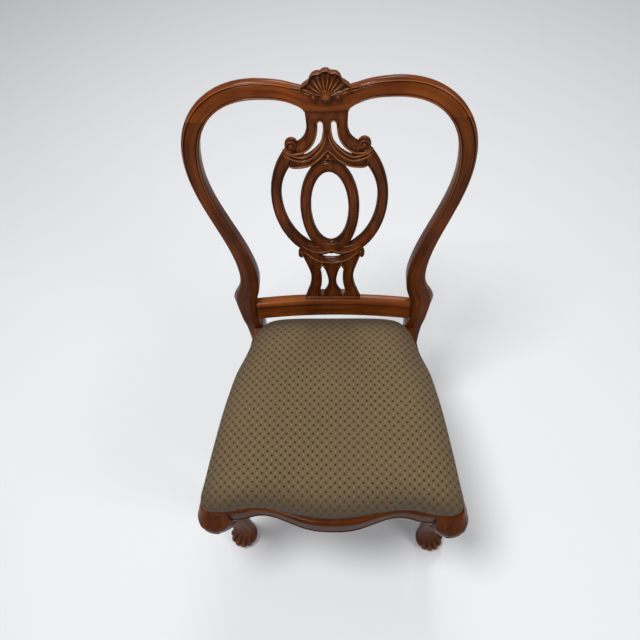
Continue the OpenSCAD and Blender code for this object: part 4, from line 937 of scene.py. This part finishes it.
def under_z(x):
    """Height of the front rail's lower edge, as a table of shares of its rise."""
    shares = [[0, 0], [45, 0.04], [80, 0.4], [110, 0.9], [132, 1], [152, 0.68], [170, 0.24],
              [LEG_FACE_X, 0.08]]
    return RAIL_BOTTOM - 4 + APRON_RISE * flow(shares, np.abs(x))


x = np.linspace(FIT - LEG_FACE_X, LEG_FACE_X - FIT, 180)[:, None]
low = through([[5, 0], [1.6, 0.8], [0.0, 3.2], [0.4, 5.4], [2.0, 6.9], [1.2, 9], [1.0, 12]],
              4)[None]
top = through([[1.8, -9], [2.2, -5], [3.4, -1.5], [6, 0]], 4)[None]
ones = np.ones_like(x)
face, under = face_y(x), under_z(x)
corners = [(x, face + RAIL_T - 1, RAIL_TOP * ones), (x, face + RAIL_T, (RAIL_TOP - 1) * ones),
           (x, face + RAIL_T, under + 1), (x, face + RAIL_T - 1, under)]
points = [np.stack([x * np.ones_like(low[..., 0]), face + low[..., 0], under + low[..., 1]], -1),
          np.stack([x * np.ones_like(top[..., 0]), face + top[..., 0],
                    RAIL_TOP + top[..., 1] * ones], -1)]
points += [np.stack(corner, -1) for corner in corners]
# The quirk above the lower bead is darkened by dark polish and painted shade.
dark = np.concatenate([bump(low[..., 1], 6.9, 2.0)[0], np.zeros(top.shape[1] + len(corners))])
front_part = surface(np.concatenate(points, 1), dark[None])
front_rail = piece("serpentine_front_rail", [front_part], front_wood)
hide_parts("front_seat_rail")

# %% [markdown]
# ## The cabriole front legs
# A cabriole leg swells at the knee, draws in to the ankle and spreads again into a foot, here
# with carved toes. It is made of level rings whose middle, radius and squareness follow a
# table. The carving is a change of each ring's radius: grooves between the toes, and on the
# knee a leaf with a midrib, side veins and a lobed edge that faces the corner.

# %% The front legs
SIDES = 144
LEG_TABLE = [
    [GLIDE_T, FOOT_X, KNEE_Y + 30, FOOT_R - 8, 2, 0.2],
    [GLIDE_T + 6, FOOT_X, KNEE_Y + 30, FOOT_R - 3, 2, 0.7],
    [20, FOOT_X, KNEE_Y + 30, FOOT_R + 0.5, 2, 1], [34, FOOT_X - 1, KNEE_Y + 31, FOOT_R - 1, 2, 1],
    [51, FOOT_X - 5, KNEE_Y + 34, FOOT_R * 0.77, 2, 0.8],
    [72, FOOT_X - 11, KNEE_Y + 37, between(ANKLE_R, FOOT_R, 0.2), 2, 0.3],
    [100, FOOT_X - 15, KNEE_Y + 38, ANKLE_R, 2, 0],
    [205, KNEE_X - 10, KNEE_Y + 30, between(ANKLE_R, KNEE_R, 0.13), 2, 0],
    [RAIL_BOTTOM - 127, KNEE_X - 8, KNEE_Y + 21, between(ANKLE_R, KNEE_R, 0.30), 2, 0],
    [RAIL_BOTTOM - 80, KNEE_X - 5, KNEE_Y + 12, between(ANKLE_R, KNEE_R, 0.50), 2, 0],
    [RAIL_BOTTOM - 46, KNEE_X - 2, KNEE_Y + 5, between(ANKLE_R, KNEE_R, 0.73), 2, 0],
    [RAIL_BOTTOM - 22, KNEE_X, KNEE_Y + 1, KNEE_R - 2, 2, 0],
    [RAIL_BOTTOM, KNEE_X, KNEE_Y, KNEE_R, 2.1, 0],
    [RAIL_BOTTOM + 16, KNEE_X - 1, KNEE_Y + 2, KNEE_R - 0.5, 2.5, 0],
    [RAIL_BOTTOM + 34, KNEE_X - 3, KNEE_Y + 8, KNEE_R - 4.4, 3, 0],
    [RAIL_TOP, KNEE_X - 5, KNEE_Y + 13.5, KNEE_R - 8.5, 3.2, 0]]


def knee_leaf(z, turn):
    """Relief of the knee's leaf. t runs down it from 0 to 1; its half width in degrees swells and
    ends in a point, with five lobes on its edge; veins slant from the midrib to each lobe."""
    t = np.clip((RAIL_BOTTOM + 34 - z) / 118.0, 0.0, 1.0)
    lobes = 0.80 + 0.20 * np.abs(np.cos(5 * math.pi * t))
    half = 62.0 * np.sin(math.pi * np.clip(t, 0.001, 1) ** 0.75) ** 0.8 * lobes
    share = np.abs(turn) / np.maximum(half, 1.0)
    body = ease((1.0 - share) / 0.16) * ease(t / 0.35) * (t < 1)
    veins = 0.5 + 0.5 * np.cos(2 * math.pi * (5.0 * t - 1.25 * share))
    relief = body * (1.0 + 0.9 * veins * ease(share * 2) + 1.3 * bump(np.abs(turn), 0, 7))
    outline = 0.6 * bump(share, 1.04, 0.1) * (t > 0.03) * (t < 0.97)
    return relief, body * (1 - veins) * 0.55 + outline


rows = through(LEG_TABLE, 9)
z, mx, my, radius, square, toes = (rows[:, k:k + 1] for k in range(6))
degrees = (np.arange(SIDES) * 360.0 / SIDES)[None, :]
w = np.radians(degrees)
turn = (degrees + 45 + 180) % 360 - 180
toe_cut = np.abs(np.cos(np.radians(6 * turn))) ** 5 * ease((np.cos(np.radians(turn)) + 0.35) / 0.5)
relief, leaf_shade = knee_leaf(z, turn)
squared = (np.abs(np.cos(w)) ** square + np.abs(np.sin(w)) ** square) ** (1 / square)
r = radius * (1 - toes * 0.095 * toe_cut) / squared + relief
x, y = mx + r * np.cos(w), my + r * np.sin(w)
flat = z > RAIL_BOTTOM - 42
x = np.where(flat, np.maximum(x, LEG_FACE_X), x)
y = np.where(flat, np.minimum(y, LEG_FACE_Y), y)
# Dark polish and painted shade darken the grooves between the toes and the leaf between its veins
# and along its outline; the toes' tops on the outer side are lighter, with wear and a painted
# highlight.
outer_side = ease((np.cos(np.radians(turn)) + 0.1) / 0.8)
toe_wear_and_highlight = 0.3 * toes * (1 - toe_cut) * outer_side * ease((56 - z) / 24)
leg = surface(np.stack([x, y, z * np.ones_like(x)], -1),
              np.clip(toes * toe_cut * 0.9 + leaf_shade, 0, 1) - toe_wear_and_highlight)
right_leg = piece("right_cabriole_leg", [leg], leg_wood, 60.0)
left_leg = piece("left_cabriole_leg", [mirrored(leg)], leg_wood, 60.0)
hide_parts("right_front_leg")
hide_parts("left_front_leg")

# %% [markdown]
# ## The upholstered seat
# The seat is a board with foam on it and a patterned cloth pulled over both and stapled
# underneath. The cloth starts here as a grid that follows the seat's outline, a little smaller
# than life, and Blender's cloth simulation then blows it up gently, so that it strains over the
# foam as real cloth does. The turned-under flap is pinned. Remeshing first would be the usual
# way, but it would lose the grid that carries the pattern, so the grid itself is simulated.

# %% The seat's outline and skin
SIDE_END = POST_IN + 21.0
SEAT_FRONT = FRONT_Y + 13.0
SEAT_BASE = RAIL_TOP + FIT
CENTRE = np.array([0.0, -30.0])


def side_x(y):
    """Plan of the side rails' outer faces: a straight line from post to leg plus a slight bow."""
    u = (POST_Y - y) / (POST_Y - LEG_FACE_Y)
    bows = [[0, 0], [0.1, -0.55], [0.23, -0.45], [0.36, 0.55], [0.49, 0.95], [0.62, 1],
            [0.75, 0.75], [0.875, 0.45], [1, 0]]
    return between(SIDE_END, SEAT_HALF, u) + SIDE_BOW * flow(bows, u)


def seat_outline(steps):
    """The outline from the middle of the front round to the middle of the back and home."""
    f, s = SEAT_FRONT, SERPENTINE
    sides = [[float(side_x(v)) + OVERHANG, v] for v in np.linspace(LEG_FACE_Y + 6, 56, 6)]
    front = [[0, f], [30, f + 1.4], [56, f + 5], [80, f + 10.5], [100, f + 0.60 * s],
             [121, f + 0.76 * s], [143, f + 0.82 * s], [163, f + 0.77 * s], [182, f + 0.62 * s],
             [200, f + 0.45 * s], [218, f + 9.5], [236, f + 9], [248, f + 12], [257, f + 19],
             [SEAT_HALF + 4, LEG_FACE_Y - 26], [SEAT_HALF + 5, LEG_FACE_Y - 12]]
    posts = [[float(side_x(95)) + 2.5, 95], [float(side_x(120)) + 0.5, 120],
             [SIDE_END + 2.4, POST_Y - 50], [SIDE_END - 3.4, POST_Y - 33],
             [SIDE_END - 11.5, POST_Y - 16], [SIDE_END - 23, POST_Y - 1.5],
             [SIDE_END - 39, POST_Y + 10]]
    back = [[130, POST_Y + 16], [102, POST_Y + 19], [68, POST_Y + 20], [34, POST_Y + 20],
            [0, POST_Y + 20]]
    half = np.array(front + sides + posts + back)
    loop = np.concatenate([half, half[-2:0:-1] * [-1, 1]])
    closed = np.concatenate([loop[-1:], loop, loop[:2]])
    path = through(closed, 8)[8:-8]
    gone = np.concatenate([[0], np.cumsum(np.linalg.norm(np.diff(path, axis=0), axis=1))])
    at = np.linspace(0, gone[-1], steps, endpoint=False)
    return np.stack([np.interp(at, gone, path[:, k]) for k in range(2)], -1)


def drawn_in(outline, share, length=0.0):
    """The outline drawn towards the seat's centre by a share and by a length."""
    v = CENTRE - outline
    return outline + v * share + v / np.linalg.norm(v, axis=1)[:, None] * length


COLUMNS = 216
outline = seat_outline(COLUMNS)
flap = [[0.062, 0.3], [0.045, 0.2], [0.028, 0.1], [0.016, 0.3]]
skin = through([[0.002, 1.5], [-0.013, 8], [-0.019, CROWN * 0.34], [-0.011, CROWN * 0.52],
                [0.014, CROWN * 0.63], [0.06, CROWN * 0.77], [0.14, CROWN * 0.86],
                [0.26, CROWN * 0.92], [0.47, CROWN * 0.97], [0.72, CROWN * 0.995], [0.985, CROWN]],
               4)
# Cloth bridges the hollows of the outline, and it has no room to swell between the posts.
around = np.concatenate([outline[-9:], outline, outline[:9]])
smooth = np.mean([around[k:k + COLUMNS] for k in range(19)], axis=0)
away = (outline - CENTRE) / np.linalg.norm(outline - CENTRE, axis=1)[:, None]
bridge = np.clip(((smooth - outline) * away).sum(1), 0, 3.0)[:, None] * away
free = ease((POST_Y - 40 - outline[:, 1]) / 90)[:, None]
rings = []
for s, h in np.concatenate([flap, skin]):
    swell = min(s, 0.0) * free[:, 0] + max(s, 0.0)
    drawn = between(outline, smooth, float(ease(s / 0.12)))
    bridged = bridge * float(ease(h / 6) * ease((0.3 - s) / 0.3))
    flat_ring = drawn + (CENTRE - drawn) * swell[:, None] + bridged
    rings.append(np.concatenate([flat_ring, np.full((COLUMNS, 1), SEAT_BASE + h)], 1))
rings = np.stack(rings)
print("the seat's cloth starts as", rings.shape[0], "rings of", rings.shape[1])

# %% The cloth's own coordinates, for its pattern
step = np.linalg.norm(np.diff(rings[::-1], axis=0), axis=2)
flat_step = np.linalg.norm(np.diff(rings[::-1, :, :2], axis=0), axis=2)
surplus = np.concatenate([np.zeros((1, COLUMNS)), np.cumsum(step - flat_step, axis=0)])[::-1]
cloth_uv = (rings[..., :2] + away[None] * surplus[..., None]) * 0.001
cloth_span = np.ptp(cloth_uv.reshape(-1, 2), axis=0)
print("the cloth spans", np.round(cloth_span, 3), "m")

# %% The cloth simulation
def simulated(points, pinned, pressure=4.0, frames=20, cap=6.0):
    """Blows the open skin up with a little air pressure. The pinned rings stay, and no point
    moves further than the cap, in millimetres. Gives the new points."""
    m, n = points.shape[:2]
    part = surface(points, ring=True, ends=False)
    mesh = bpy.data.meshes.new("cloth_trial")
    crown = np.append(part["spots"], points[-1].mean(0)[None], 0)
    ring = np.arange(n) + (m - 1) * n
    flip = part["quads"][0, 0] != 0
    tris = [[int(a), int(b), m * n] for a, b in zip(ring, np.roll(ring, -1))]
    tris = [t[::-1] for t in tris] if flip else tris
    mesh.from_pydata((crown * 0.001).tolist(), [], part["quads"].tolist() + tris)
    thing = placed("cloth_trial", mesh)
    group = thing.vertex_groups.new(name="pinned")
    group.add([int(k) for k in range(pinned * n)], 1.0, "REPLACE")
    cloth = thing.modifiers.new("cloth", "CLOTH")
    cloth.settings.vertex_group_mass = "pinned"
    cloth.settings.use_pressure = True
    cloth.settings.uniform_pressure_force = pressure
    cloth.settings.effector_weights.gravity = 0.0
    cloth.settings.quality = 6
    cloth.settings.tension_stiffness = cloth.settings.compression_stiffness = 22
    cloth.settings.bending_stiffness = 1.2
    cloth.collision_settings.use_collision = False
    scene = bpy.context.scene
    for k in range(1, frames + 1):
        scene.frame_set(k)
    done = thing.evaluated_get(bpy.context.evaluated_depsgraph_get()).to_mesh()
    moved = np.empty(len(done.vertices) * 3, np.float32)
    done.vertices.foreach_get("co", moved)
    moved = moved.reshape(-1, 3)[:m * n].reshape(m, n, 3) * 1000.0
    scene.frame_set(1)
    bpy.data.objects.remove(thing)
    shift = moved - points
    size = np.linalg.norm(shift, axis=2, keepdims=True)
    return points + shift * np.minimum(1.0, cap / np.maximum(size, 1e-6))


START, START_H, EVENING_PASSES = 0.997, 0.95, 14
first = len(flap)
small = rings.copy()
small[first:, :, :2] = CENTRE + (rings[first:, :, :2] - CENTRE) * START
small[first + 1:, :, 2] = SEAT_BASE + (rings[first + 1:, :, 2] - SEAT_BASE) * START_H
padded = simulated(small, first + 1)
grown = padded - small
# The small creases that the cloth makes at the corners are evened out, as on a taut cover.
for _ in range(EVENING_PASSES):
    near = (2 * grown + np.roll(grown, 1, axis=1) + np.roll(grown, -1, axis=1)) / 4
    grown[first + 2:-1] = (near[first + 1:-2] + 2 * near[first + 2:-1] + near[first + 3:]) / 4
padded = small + grown
print("the cloth moved up to", round(float(np.linalg.norm(grown, axis=2).max()), 2), "mm")

# %% [markdown]
# ## The patterned cloth
# The cloth is an olive weave with small dark dots in a staggered grid, pale dashes between them
# and faint upright bands of warmer and greener thread. All of it is drawn from the cloth's own
# coordinates in metres, so the pattern bends over the seat's edge as the real cloth does.

# %% Material of the seat's cloth
DOT_CELL, THREAD = 0.0186, 0.0013


def waves(tree, value, length):
    """Sine of a distance, with waves of a length in metres."""
    return maths(tree, "SINE", maths(tree, "MULTIPLY", value, 2 * math.pi / length))


def cloth_material():
    """Dots: distance to the nearest point of two square grids of 18.6 mm, half a cell apart.
    Dashes: the same on the other two half-way points, with the distance squeezed upright."""
    material, tree, shader = new_material("dotted_seat_cloth", Roughness=0.9, Sheen_Weight=0.06,
                                          Sheen_Roughness=0.5)
    uv = node(tree, "UVMap", uv_map="cloth").outputs[0]
    parts = node(tree, "SeparateXYZ", {"Vector": uv})
    x, y = parts.outputs[0], parts.outputs[1]

    def off_grid(value, shift):
        """How far a value lies from the middle of its cell, as a share of the cell."""
        scaled = maths(tree, "ADD", maths(tree, "DIVIDE", value, DOT_CELL), shift)
        return maths(tree, "SUBTRACT", maths(tree, "FRACT", scaled), 0.5)

    def spots(sx, sy, wide, tall, soft):
        """Soft oval spots, one in each cell."""
        a = maths(tree, "DIVIDE", off_grid(x, sx), wide)
        b = maths(tree, "DIVIDE", off_grid(y, sy), tall)
        d = maths(tree, "ADD", maths(tree, "MULTIPLY", a, a), maths(tree, "MULTIPLY", b, b))
        edges = {"Value": d, "From Min": 1.0 + soft, "From Max": 1.0 - soft}
        return node(tree, "MapRange", edges).outputs[0]

    def patches(scale, detail, share):
        """Clouds of noise that cover up to a share of what lies under them."""
        blot = noise(tree, object_place(tree), scale, detail)
        edges = {"Value": blot, "From Min": 0.35, "From Max": 0.7, "To Max": share}
        return node(tree, "MapRange", edges).outputs[0]

    dots, dashes = (maths(tree, "MAXIMUM", spots(0.5 - turned, 0.5, *shape),
                          spots(turned, 0.0, *shape))
                    for turned, shape in ((0.0, (0.135, 0.135, 0.3)), (0.5, (0.055, 0.15, 0.7))))
    bands = maths(tree, "MULTIPLY_ADD", waves(tree, x, DOT_CELL), 0.5, 0.5)
    ground = mixed(tree, bands, ink(107, 86, 57), ink(106, 91, 52))
    flecked = mixed(tree, patches(420.0, 3.0, 0.5), ground, ink(76, 65, 45))
    dashed = mixed(tree, maths(tree, "MULTIPLY", dashes, 0.55), flecked, ink(150, 136, 92))
    dotted = mixed(tree, dots, dashed, ink(28, 18, 10))
    greyed = mixed(tree, patches(7.0, 2.0, 0.18), dotted, ink(112, 82, 66))
    # The cloth's sides are darkened with painted shade.
    side = node(tree, "Attribute", attribute_name="stain_shade_and_highlight").outputs["Fac"]
    shaded_sides = mixed(tree, maths(tree, "MULTIPLY", side, 0.72), greyed, ink(60, 45, 33))
    tree.links.new(shaded_sides, shader.inputs["Base Color"])
    weave = maths(tree, "MULTIPLY", waves(tree, x, THREAD), waves(tree, y, THREAD))
    sunk_dots = maths(tree, "ADD", weave, maths(tree, "MULTIPLY", dots, -1.2))
    add_relief(tree, shader, sunk_dots, 0.35, 0.0004)
    return material


seat_cloth = cloth_material()
print("made", seat_cloth.name)

# %% The finished cloth and the foam under it
# How high up the sides, and from where towards the front and back, painted shade darkens the
# cloth.
SIDE_SHADE_TOP, SIDE_SHADE_FADE, SIDE_SHADE_MIDDLE, SIDE_SHADE_SPREAD = 50.0, 24.0, 150.0, 70.0
FOAM_GAP, BOARD_LIFT, BOARD_T = 4.0, 0.3, 12.0


def crowned(points):
    """The grid with its open crown closed by a fan to the crown's middle point."""
    m, n = points.shape[:2]
    part = surface(points, ends=False)
    top = points[-1].mean(0)[None]
    ring = np.arange(n) + (m - 1) * n
    fan = np.stack([ring, np.roll(ring, -1), np.full(n, m * n)], -1)
    if part["quads"][0, 0] != 0:
        fan = fan[:, ::-1]
    part["spots"] = np.append(part["spots"], top, 0)
    part["tone"] = np.append(part["tone"], 0.0)
    part["veins"] = np.append(part["veins"], part["veins"][-1:], 0)
    part["tris"] = fan
    return part


skin_part = crowned(padded)
y, z = skin_part["spots"][:, 1], skin_part["spots"][:, 2]
# Painted shade darkens the cloth down its sides, most of all towards the front and the back.
ends = ease((np.abs(y - CENTRE[1]) - SIDE_SHADE_MIDDLE) / SIDE_SHADE_SPREAD)
skin_part["tone"] = ease((SEAT_BASE + SIDE_SHADE_TOP - z) / SIDE_SHADE_FADE) * (0.45 + 0.55 * ends)
cushion = piece("seat_cushion", [skin_part], seat_cloth, 80.0)
layer = cushion.data.uv_layers.new(name="cloth")
spots_uv = np.append(cloth_uv.reshape(-1, 2), cloth_uv[-1].mean(0)[None], 0)
corner = np.empty(len(cushion.data.loops), np.int32)
cushion.data.loops.foreach_get("vertex_index", corner)
layer.data.foreach_set("uv", spots_uv[corner].astype(np.float32).ravel())
wall = cushion.modifiers.new("thickness", "SOLIDIFY")
wall.thickness, wall.offset = 0.0011, -1.0
fine = cushion.modifiers.new("finer", "SUBSURF")
fine.levels = fine.render_levels = 1
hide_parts("seat_cover")

# %% The foam
foam_material, tree, shader = new_material("cut_foam", Roughness=0.95)
cells = node(tree, "TexVoronoi", {"Vector": object_place(tree), "Scale": 700.0})
pores = cells.outputs["Distance"]
yellows = ramp(tree, pores, [[0.1, ink(205, 192, 150)], [0.6, ink(238, 228, 196)]])
tree.links.new(yellows, shader.inputs["Base Color"])
add_relief(tree, shader, pores, 0.5, 0.0005)
BOARD_TOP = RAIL_TOP + FIT + FABRIC_T + BOARD_LIFT + BOARD_T + FIT
down = np.gradient(padded, axis=0)
round_it = np.roll(padded, -1, axis=1) - np.roll(padded, 1, axis=1)
outward = np.cross(round_it, down)
outward /= np.linalg.norm(outward, axis=2, keepdims=True)
outward *= np.sign(outward[-8, :, 2].mean())
shrunk = padded - FOAM_GAP * outward
upper = shrunk[:, :, 2].min(1) > BOARD_TOP + 2
under = shrunk[upper]
on_board = np.full((COLUMNS, 1), BOARD_TOP)
foot = np.stack([np.concatenate([drawn_in(under[0, :, :2], s), on_board], 1)
                 for s in (0.98, 0.5, 0.0)])
foam = piece("foam_pad", [surface(np.concatenate([foot, under]))], foam_material)
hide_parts("seat_foam")

# %% [markdown]
# ## Finishes for the solids that stay
# The plain rails, blocks, dowels, board, screws, glides and the black dust cloth already have the
# shapes of the real pieces. They keep their meshes, and only their material slots change.

# %% Beech, plywood, steel and dust cloth
def pale_wood(name, light, dark, scale):
    """Unpolished wood: stretched noise between a light and a dark tone."""
    material, tree, shader = new_material(name, Roughness=0.75)
    drawn = node(tree, "Mapping", {"Vector": object_place(tree), "Scale": scale}).outputs[0]
    streak = noise(tree, drawn, 1.0, 5.0, Roughness=0.6)
    tree.links.new(ramp(tree, streak, [[0.3, dark], [0.7, light]]), shader.inputs["Base Color"])
    add_relief(tree, shader, streak, 0.2, 0.0005)
    return material


def steel(name, tone):
    """Plated steel: fine noise in its roughness, with a little dulling."""
    material, tree, shader = new_material(name, Metallic=1.0)
    grain = noise(tree, object_place(tree), 900.0, 3.0)
    tree.links.new(between_values(tree, grain, 0.28, 0.5), shader.inputs["Roughness"])
    greys = ramp(tree, grain, [[0.3, tuple(v * 0.8 for v in tone)], [0.7, tone]])
    tree.links.new(greys, shader.inputs["Base Color"])
    return material


def dust_cloth():
    """Thin black cloth: two crossed fine waves of thread."""
    material, tree, shader = new_material("black_dust_cloth", Roughness=0.95)
    place = node(tree, "SeparateXYZ", {"Vector": object_place(tree)})
    threads = [waves(tree, place.outputs[k], 0.0012) for k in (0, 1)]
    weave = maths(tree, "MULTIPLY_ADD", maths(tree, "MULTIPLY", *threads), 0.5, 0.5)
    blacks = ramp(tree, weave, [[0.0, ink(14, 14, 16)], [1.0, ink(44, 44, 48)]])
    tree.links.new(blacks, shader.inputs["Base Color"])
    add_relief(tree, shader, weave, 0.4, 0.0003)
    return material


beech = pale_wood("beech", ink(203, 172, 128), ink(168, 134, 92), [10.0, 90.0, 90.0])
plywood = pale_wood("plywood_edge", ink(208, 180, 136), ink(150, 118, 80), [8.0, 8.0, 620.0])
zinc = steel("zinc_plated_steel", ink(188, 188, 192))
pressed = steel("pressed_steel", ink(160, 160, 166))
black_cloth = dust_cloth()

FINISHES = (
    (wood_across, ("rear_seat_rail", "left_front_knee_block", "right_front_knee_block")),
    (wood_back, ("left_side_rail", "right_side_rail", "left_side_knee_block",
                 "right_side_knee_block")),
    (beech, ("rear_left_corner_block", "rear_right_corner_block", "front_left_corner_block",
             "front_right_corner_block", "crest_dowels", "lower_rail_dowels", "rear_rail_dowels",
             "side_rail_dowels", "front_rail_dowels")),
    (zinc, ("corner_block_screws", "seat_screws")), (plywood, ("seat_board",)),
    (black_cloth, ("dust_cover",)), (pressed, ("foot_glides",)))
for material, names in FINISHES:
    for name in names:
        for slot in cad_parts[name].material_slots:
            slot.material = material
print("solids that keep their shape:", sum(len(names) for _, names in FINISHES))

# %% [markdown]
# ## The stage, the light and the camera
# The stage is a plain pale floor that turns up into a backdrop. Three wide soft lamps and an
# even sky light the chair so that colours come out about as they are written. The camera
# stands where the photographer stood: in front of the chair, high above the seat, looking
# steeply down, with the picture turned by about five degrees.

# %% Floor and backdrop
def stage_sweep():
    """A floor that curves up into a wall behind, as one profile drawn out sideways."""
    a = np.linspace(0, math.pi / 2, 24)
    bend = np.stack([3.2 + 1.6 * np.sin(a), 1.6 - 1.6 * np.cos(a)], -1)
    profile = np.concatenate([[[-6.0, 0.0]], bend, [[4.8, 5.0]]])
    n = len(profile)
    points = np.stack([np.concatenate([np.full((n, 1), x), profile], 1) for x in (-6, 0, 6)])
    faces = [[k, k + n, k + n + 1, k + 1] for i in range(2) for k in range(i * n, i * n + n - 1)]
    mesh = bpy.data.meshes.new("stage_floor")
    mesh.from_pydata(points.reshape(-1, 3).tolist(), [], faces)
    mesh.polygons.foreach_set("use_smooth", np.ones(len(faces), bool))
    thing = placed("stage_floor", mesh)
    floor = new_material("pale_floor", Base_Color=(0.80, 0.81, 0.83, 1.0), Roughness=0.9)
    mesh.materials.append(floor[0])


stage_sweep()

# %% Lamps and sky
def stood(thing, axes, place):
    """Puts a lamp or the camera at a place, with its own x, y and z pointing along the axes."""
    turn = np.eye(4)
    turn[:3, :3] = np.stack(axes, -1)
    turn[:3, 3] = place
    thing.matrix_world = Matrix(turn.tolist())


def soft_lamp(name, place, target, size, watts):
    """A wide area lamp at a place, turned to face its target."""
    light = bpy.data.lights.new(name, "AREA")
    light.shape, light.size, light.energy = "DISK", size, watts
    z = np.array(place, float) - np.array(target, float)
    z /= np.linalg.norm(z)
    x = np.cross([0.0, 0.0, 1.0], z)
    x /= np.linalg.norm(x)
    stood(placed(name, light), [x, np.cross(z, x), z], place)


soft_lamp("key_lamp", (-0.7, -0.4, 3.3), (0, 0, 0.5), 0.9, 66)
soft_lamp("fill_lamp", (2.0, -1.3, 2.4), (0, 0, 0.5), 1.2, 20)
soft_lamp("back_lamp", (0.2, 2.2, 2.9), (0, 0, 0.7), 0.9, 26)
world = bpy.data.worlds.new("even_sky")
bpy.context.scene.world = world
world.use_nodes = True
sky = world.node_tree.nodes["Background"]
sky.inputs["Color"].default_value = (1.0, 1.0, 1.0, 1.0)
sky.inputs["Strength"].default_value = 0.30
bpy.context.scene.view_settings.view_transform = "Standard"

# %% The camera
CAMERA = {"x": 0.0400, "y": -0.4984, "z": 1.6040, "yaw": 0.1028, "pitch": 1.0190,
          "roll": 0.0900, "focal_px": 563.355}
PHOTO_PX, SENSOR_MM = 640.0, 36.0


def photo_camera(c):
    """Camera axes from its turn about z (yaw), its tilt down (pitch) and its roll. The focal
    length in pixels of a 640-pixel picture becomes millimetres on a 36 mm sensor."""
    (cy, sy), (cp, sp), (cr, sr) = ((math.cos(c[k]), math.sin(c[k]))
                                    for k in ("yaw", "pitch", "roll"))
    level = np.array([-sy, cy, 0.0])
    right0 = np.array([cy, sy, 0.0])
    forward = level * cp + np.array([0, 0, -sp])
    down0 = -(np.array([0, 0, 1.0]) * cp + level * sp)
    right, down = right0 * cr + down0 * sr, down0 * cr - right0 * sr
    data = bpy.data.cameras.new("photo_camera")
    data.sensor_width, data.sensor_fit = SENSOR_MM, "HORIZONTAL"
    data.lens = c["focal_px"] * SENSOR_MM / PHOTO_PX
    data.dof.use_dof = False
    camera = placed("photo_camera", data)
    stood(camera, [right, -down, -forward], [c["x"], c["y"] - MIDDLE_Y * 0.001, c["z"]])
    bpy.context.scene.camera = camera
    print("camera lens", round(data.lens, 2), "mm")


photo_camera(CAMERA)
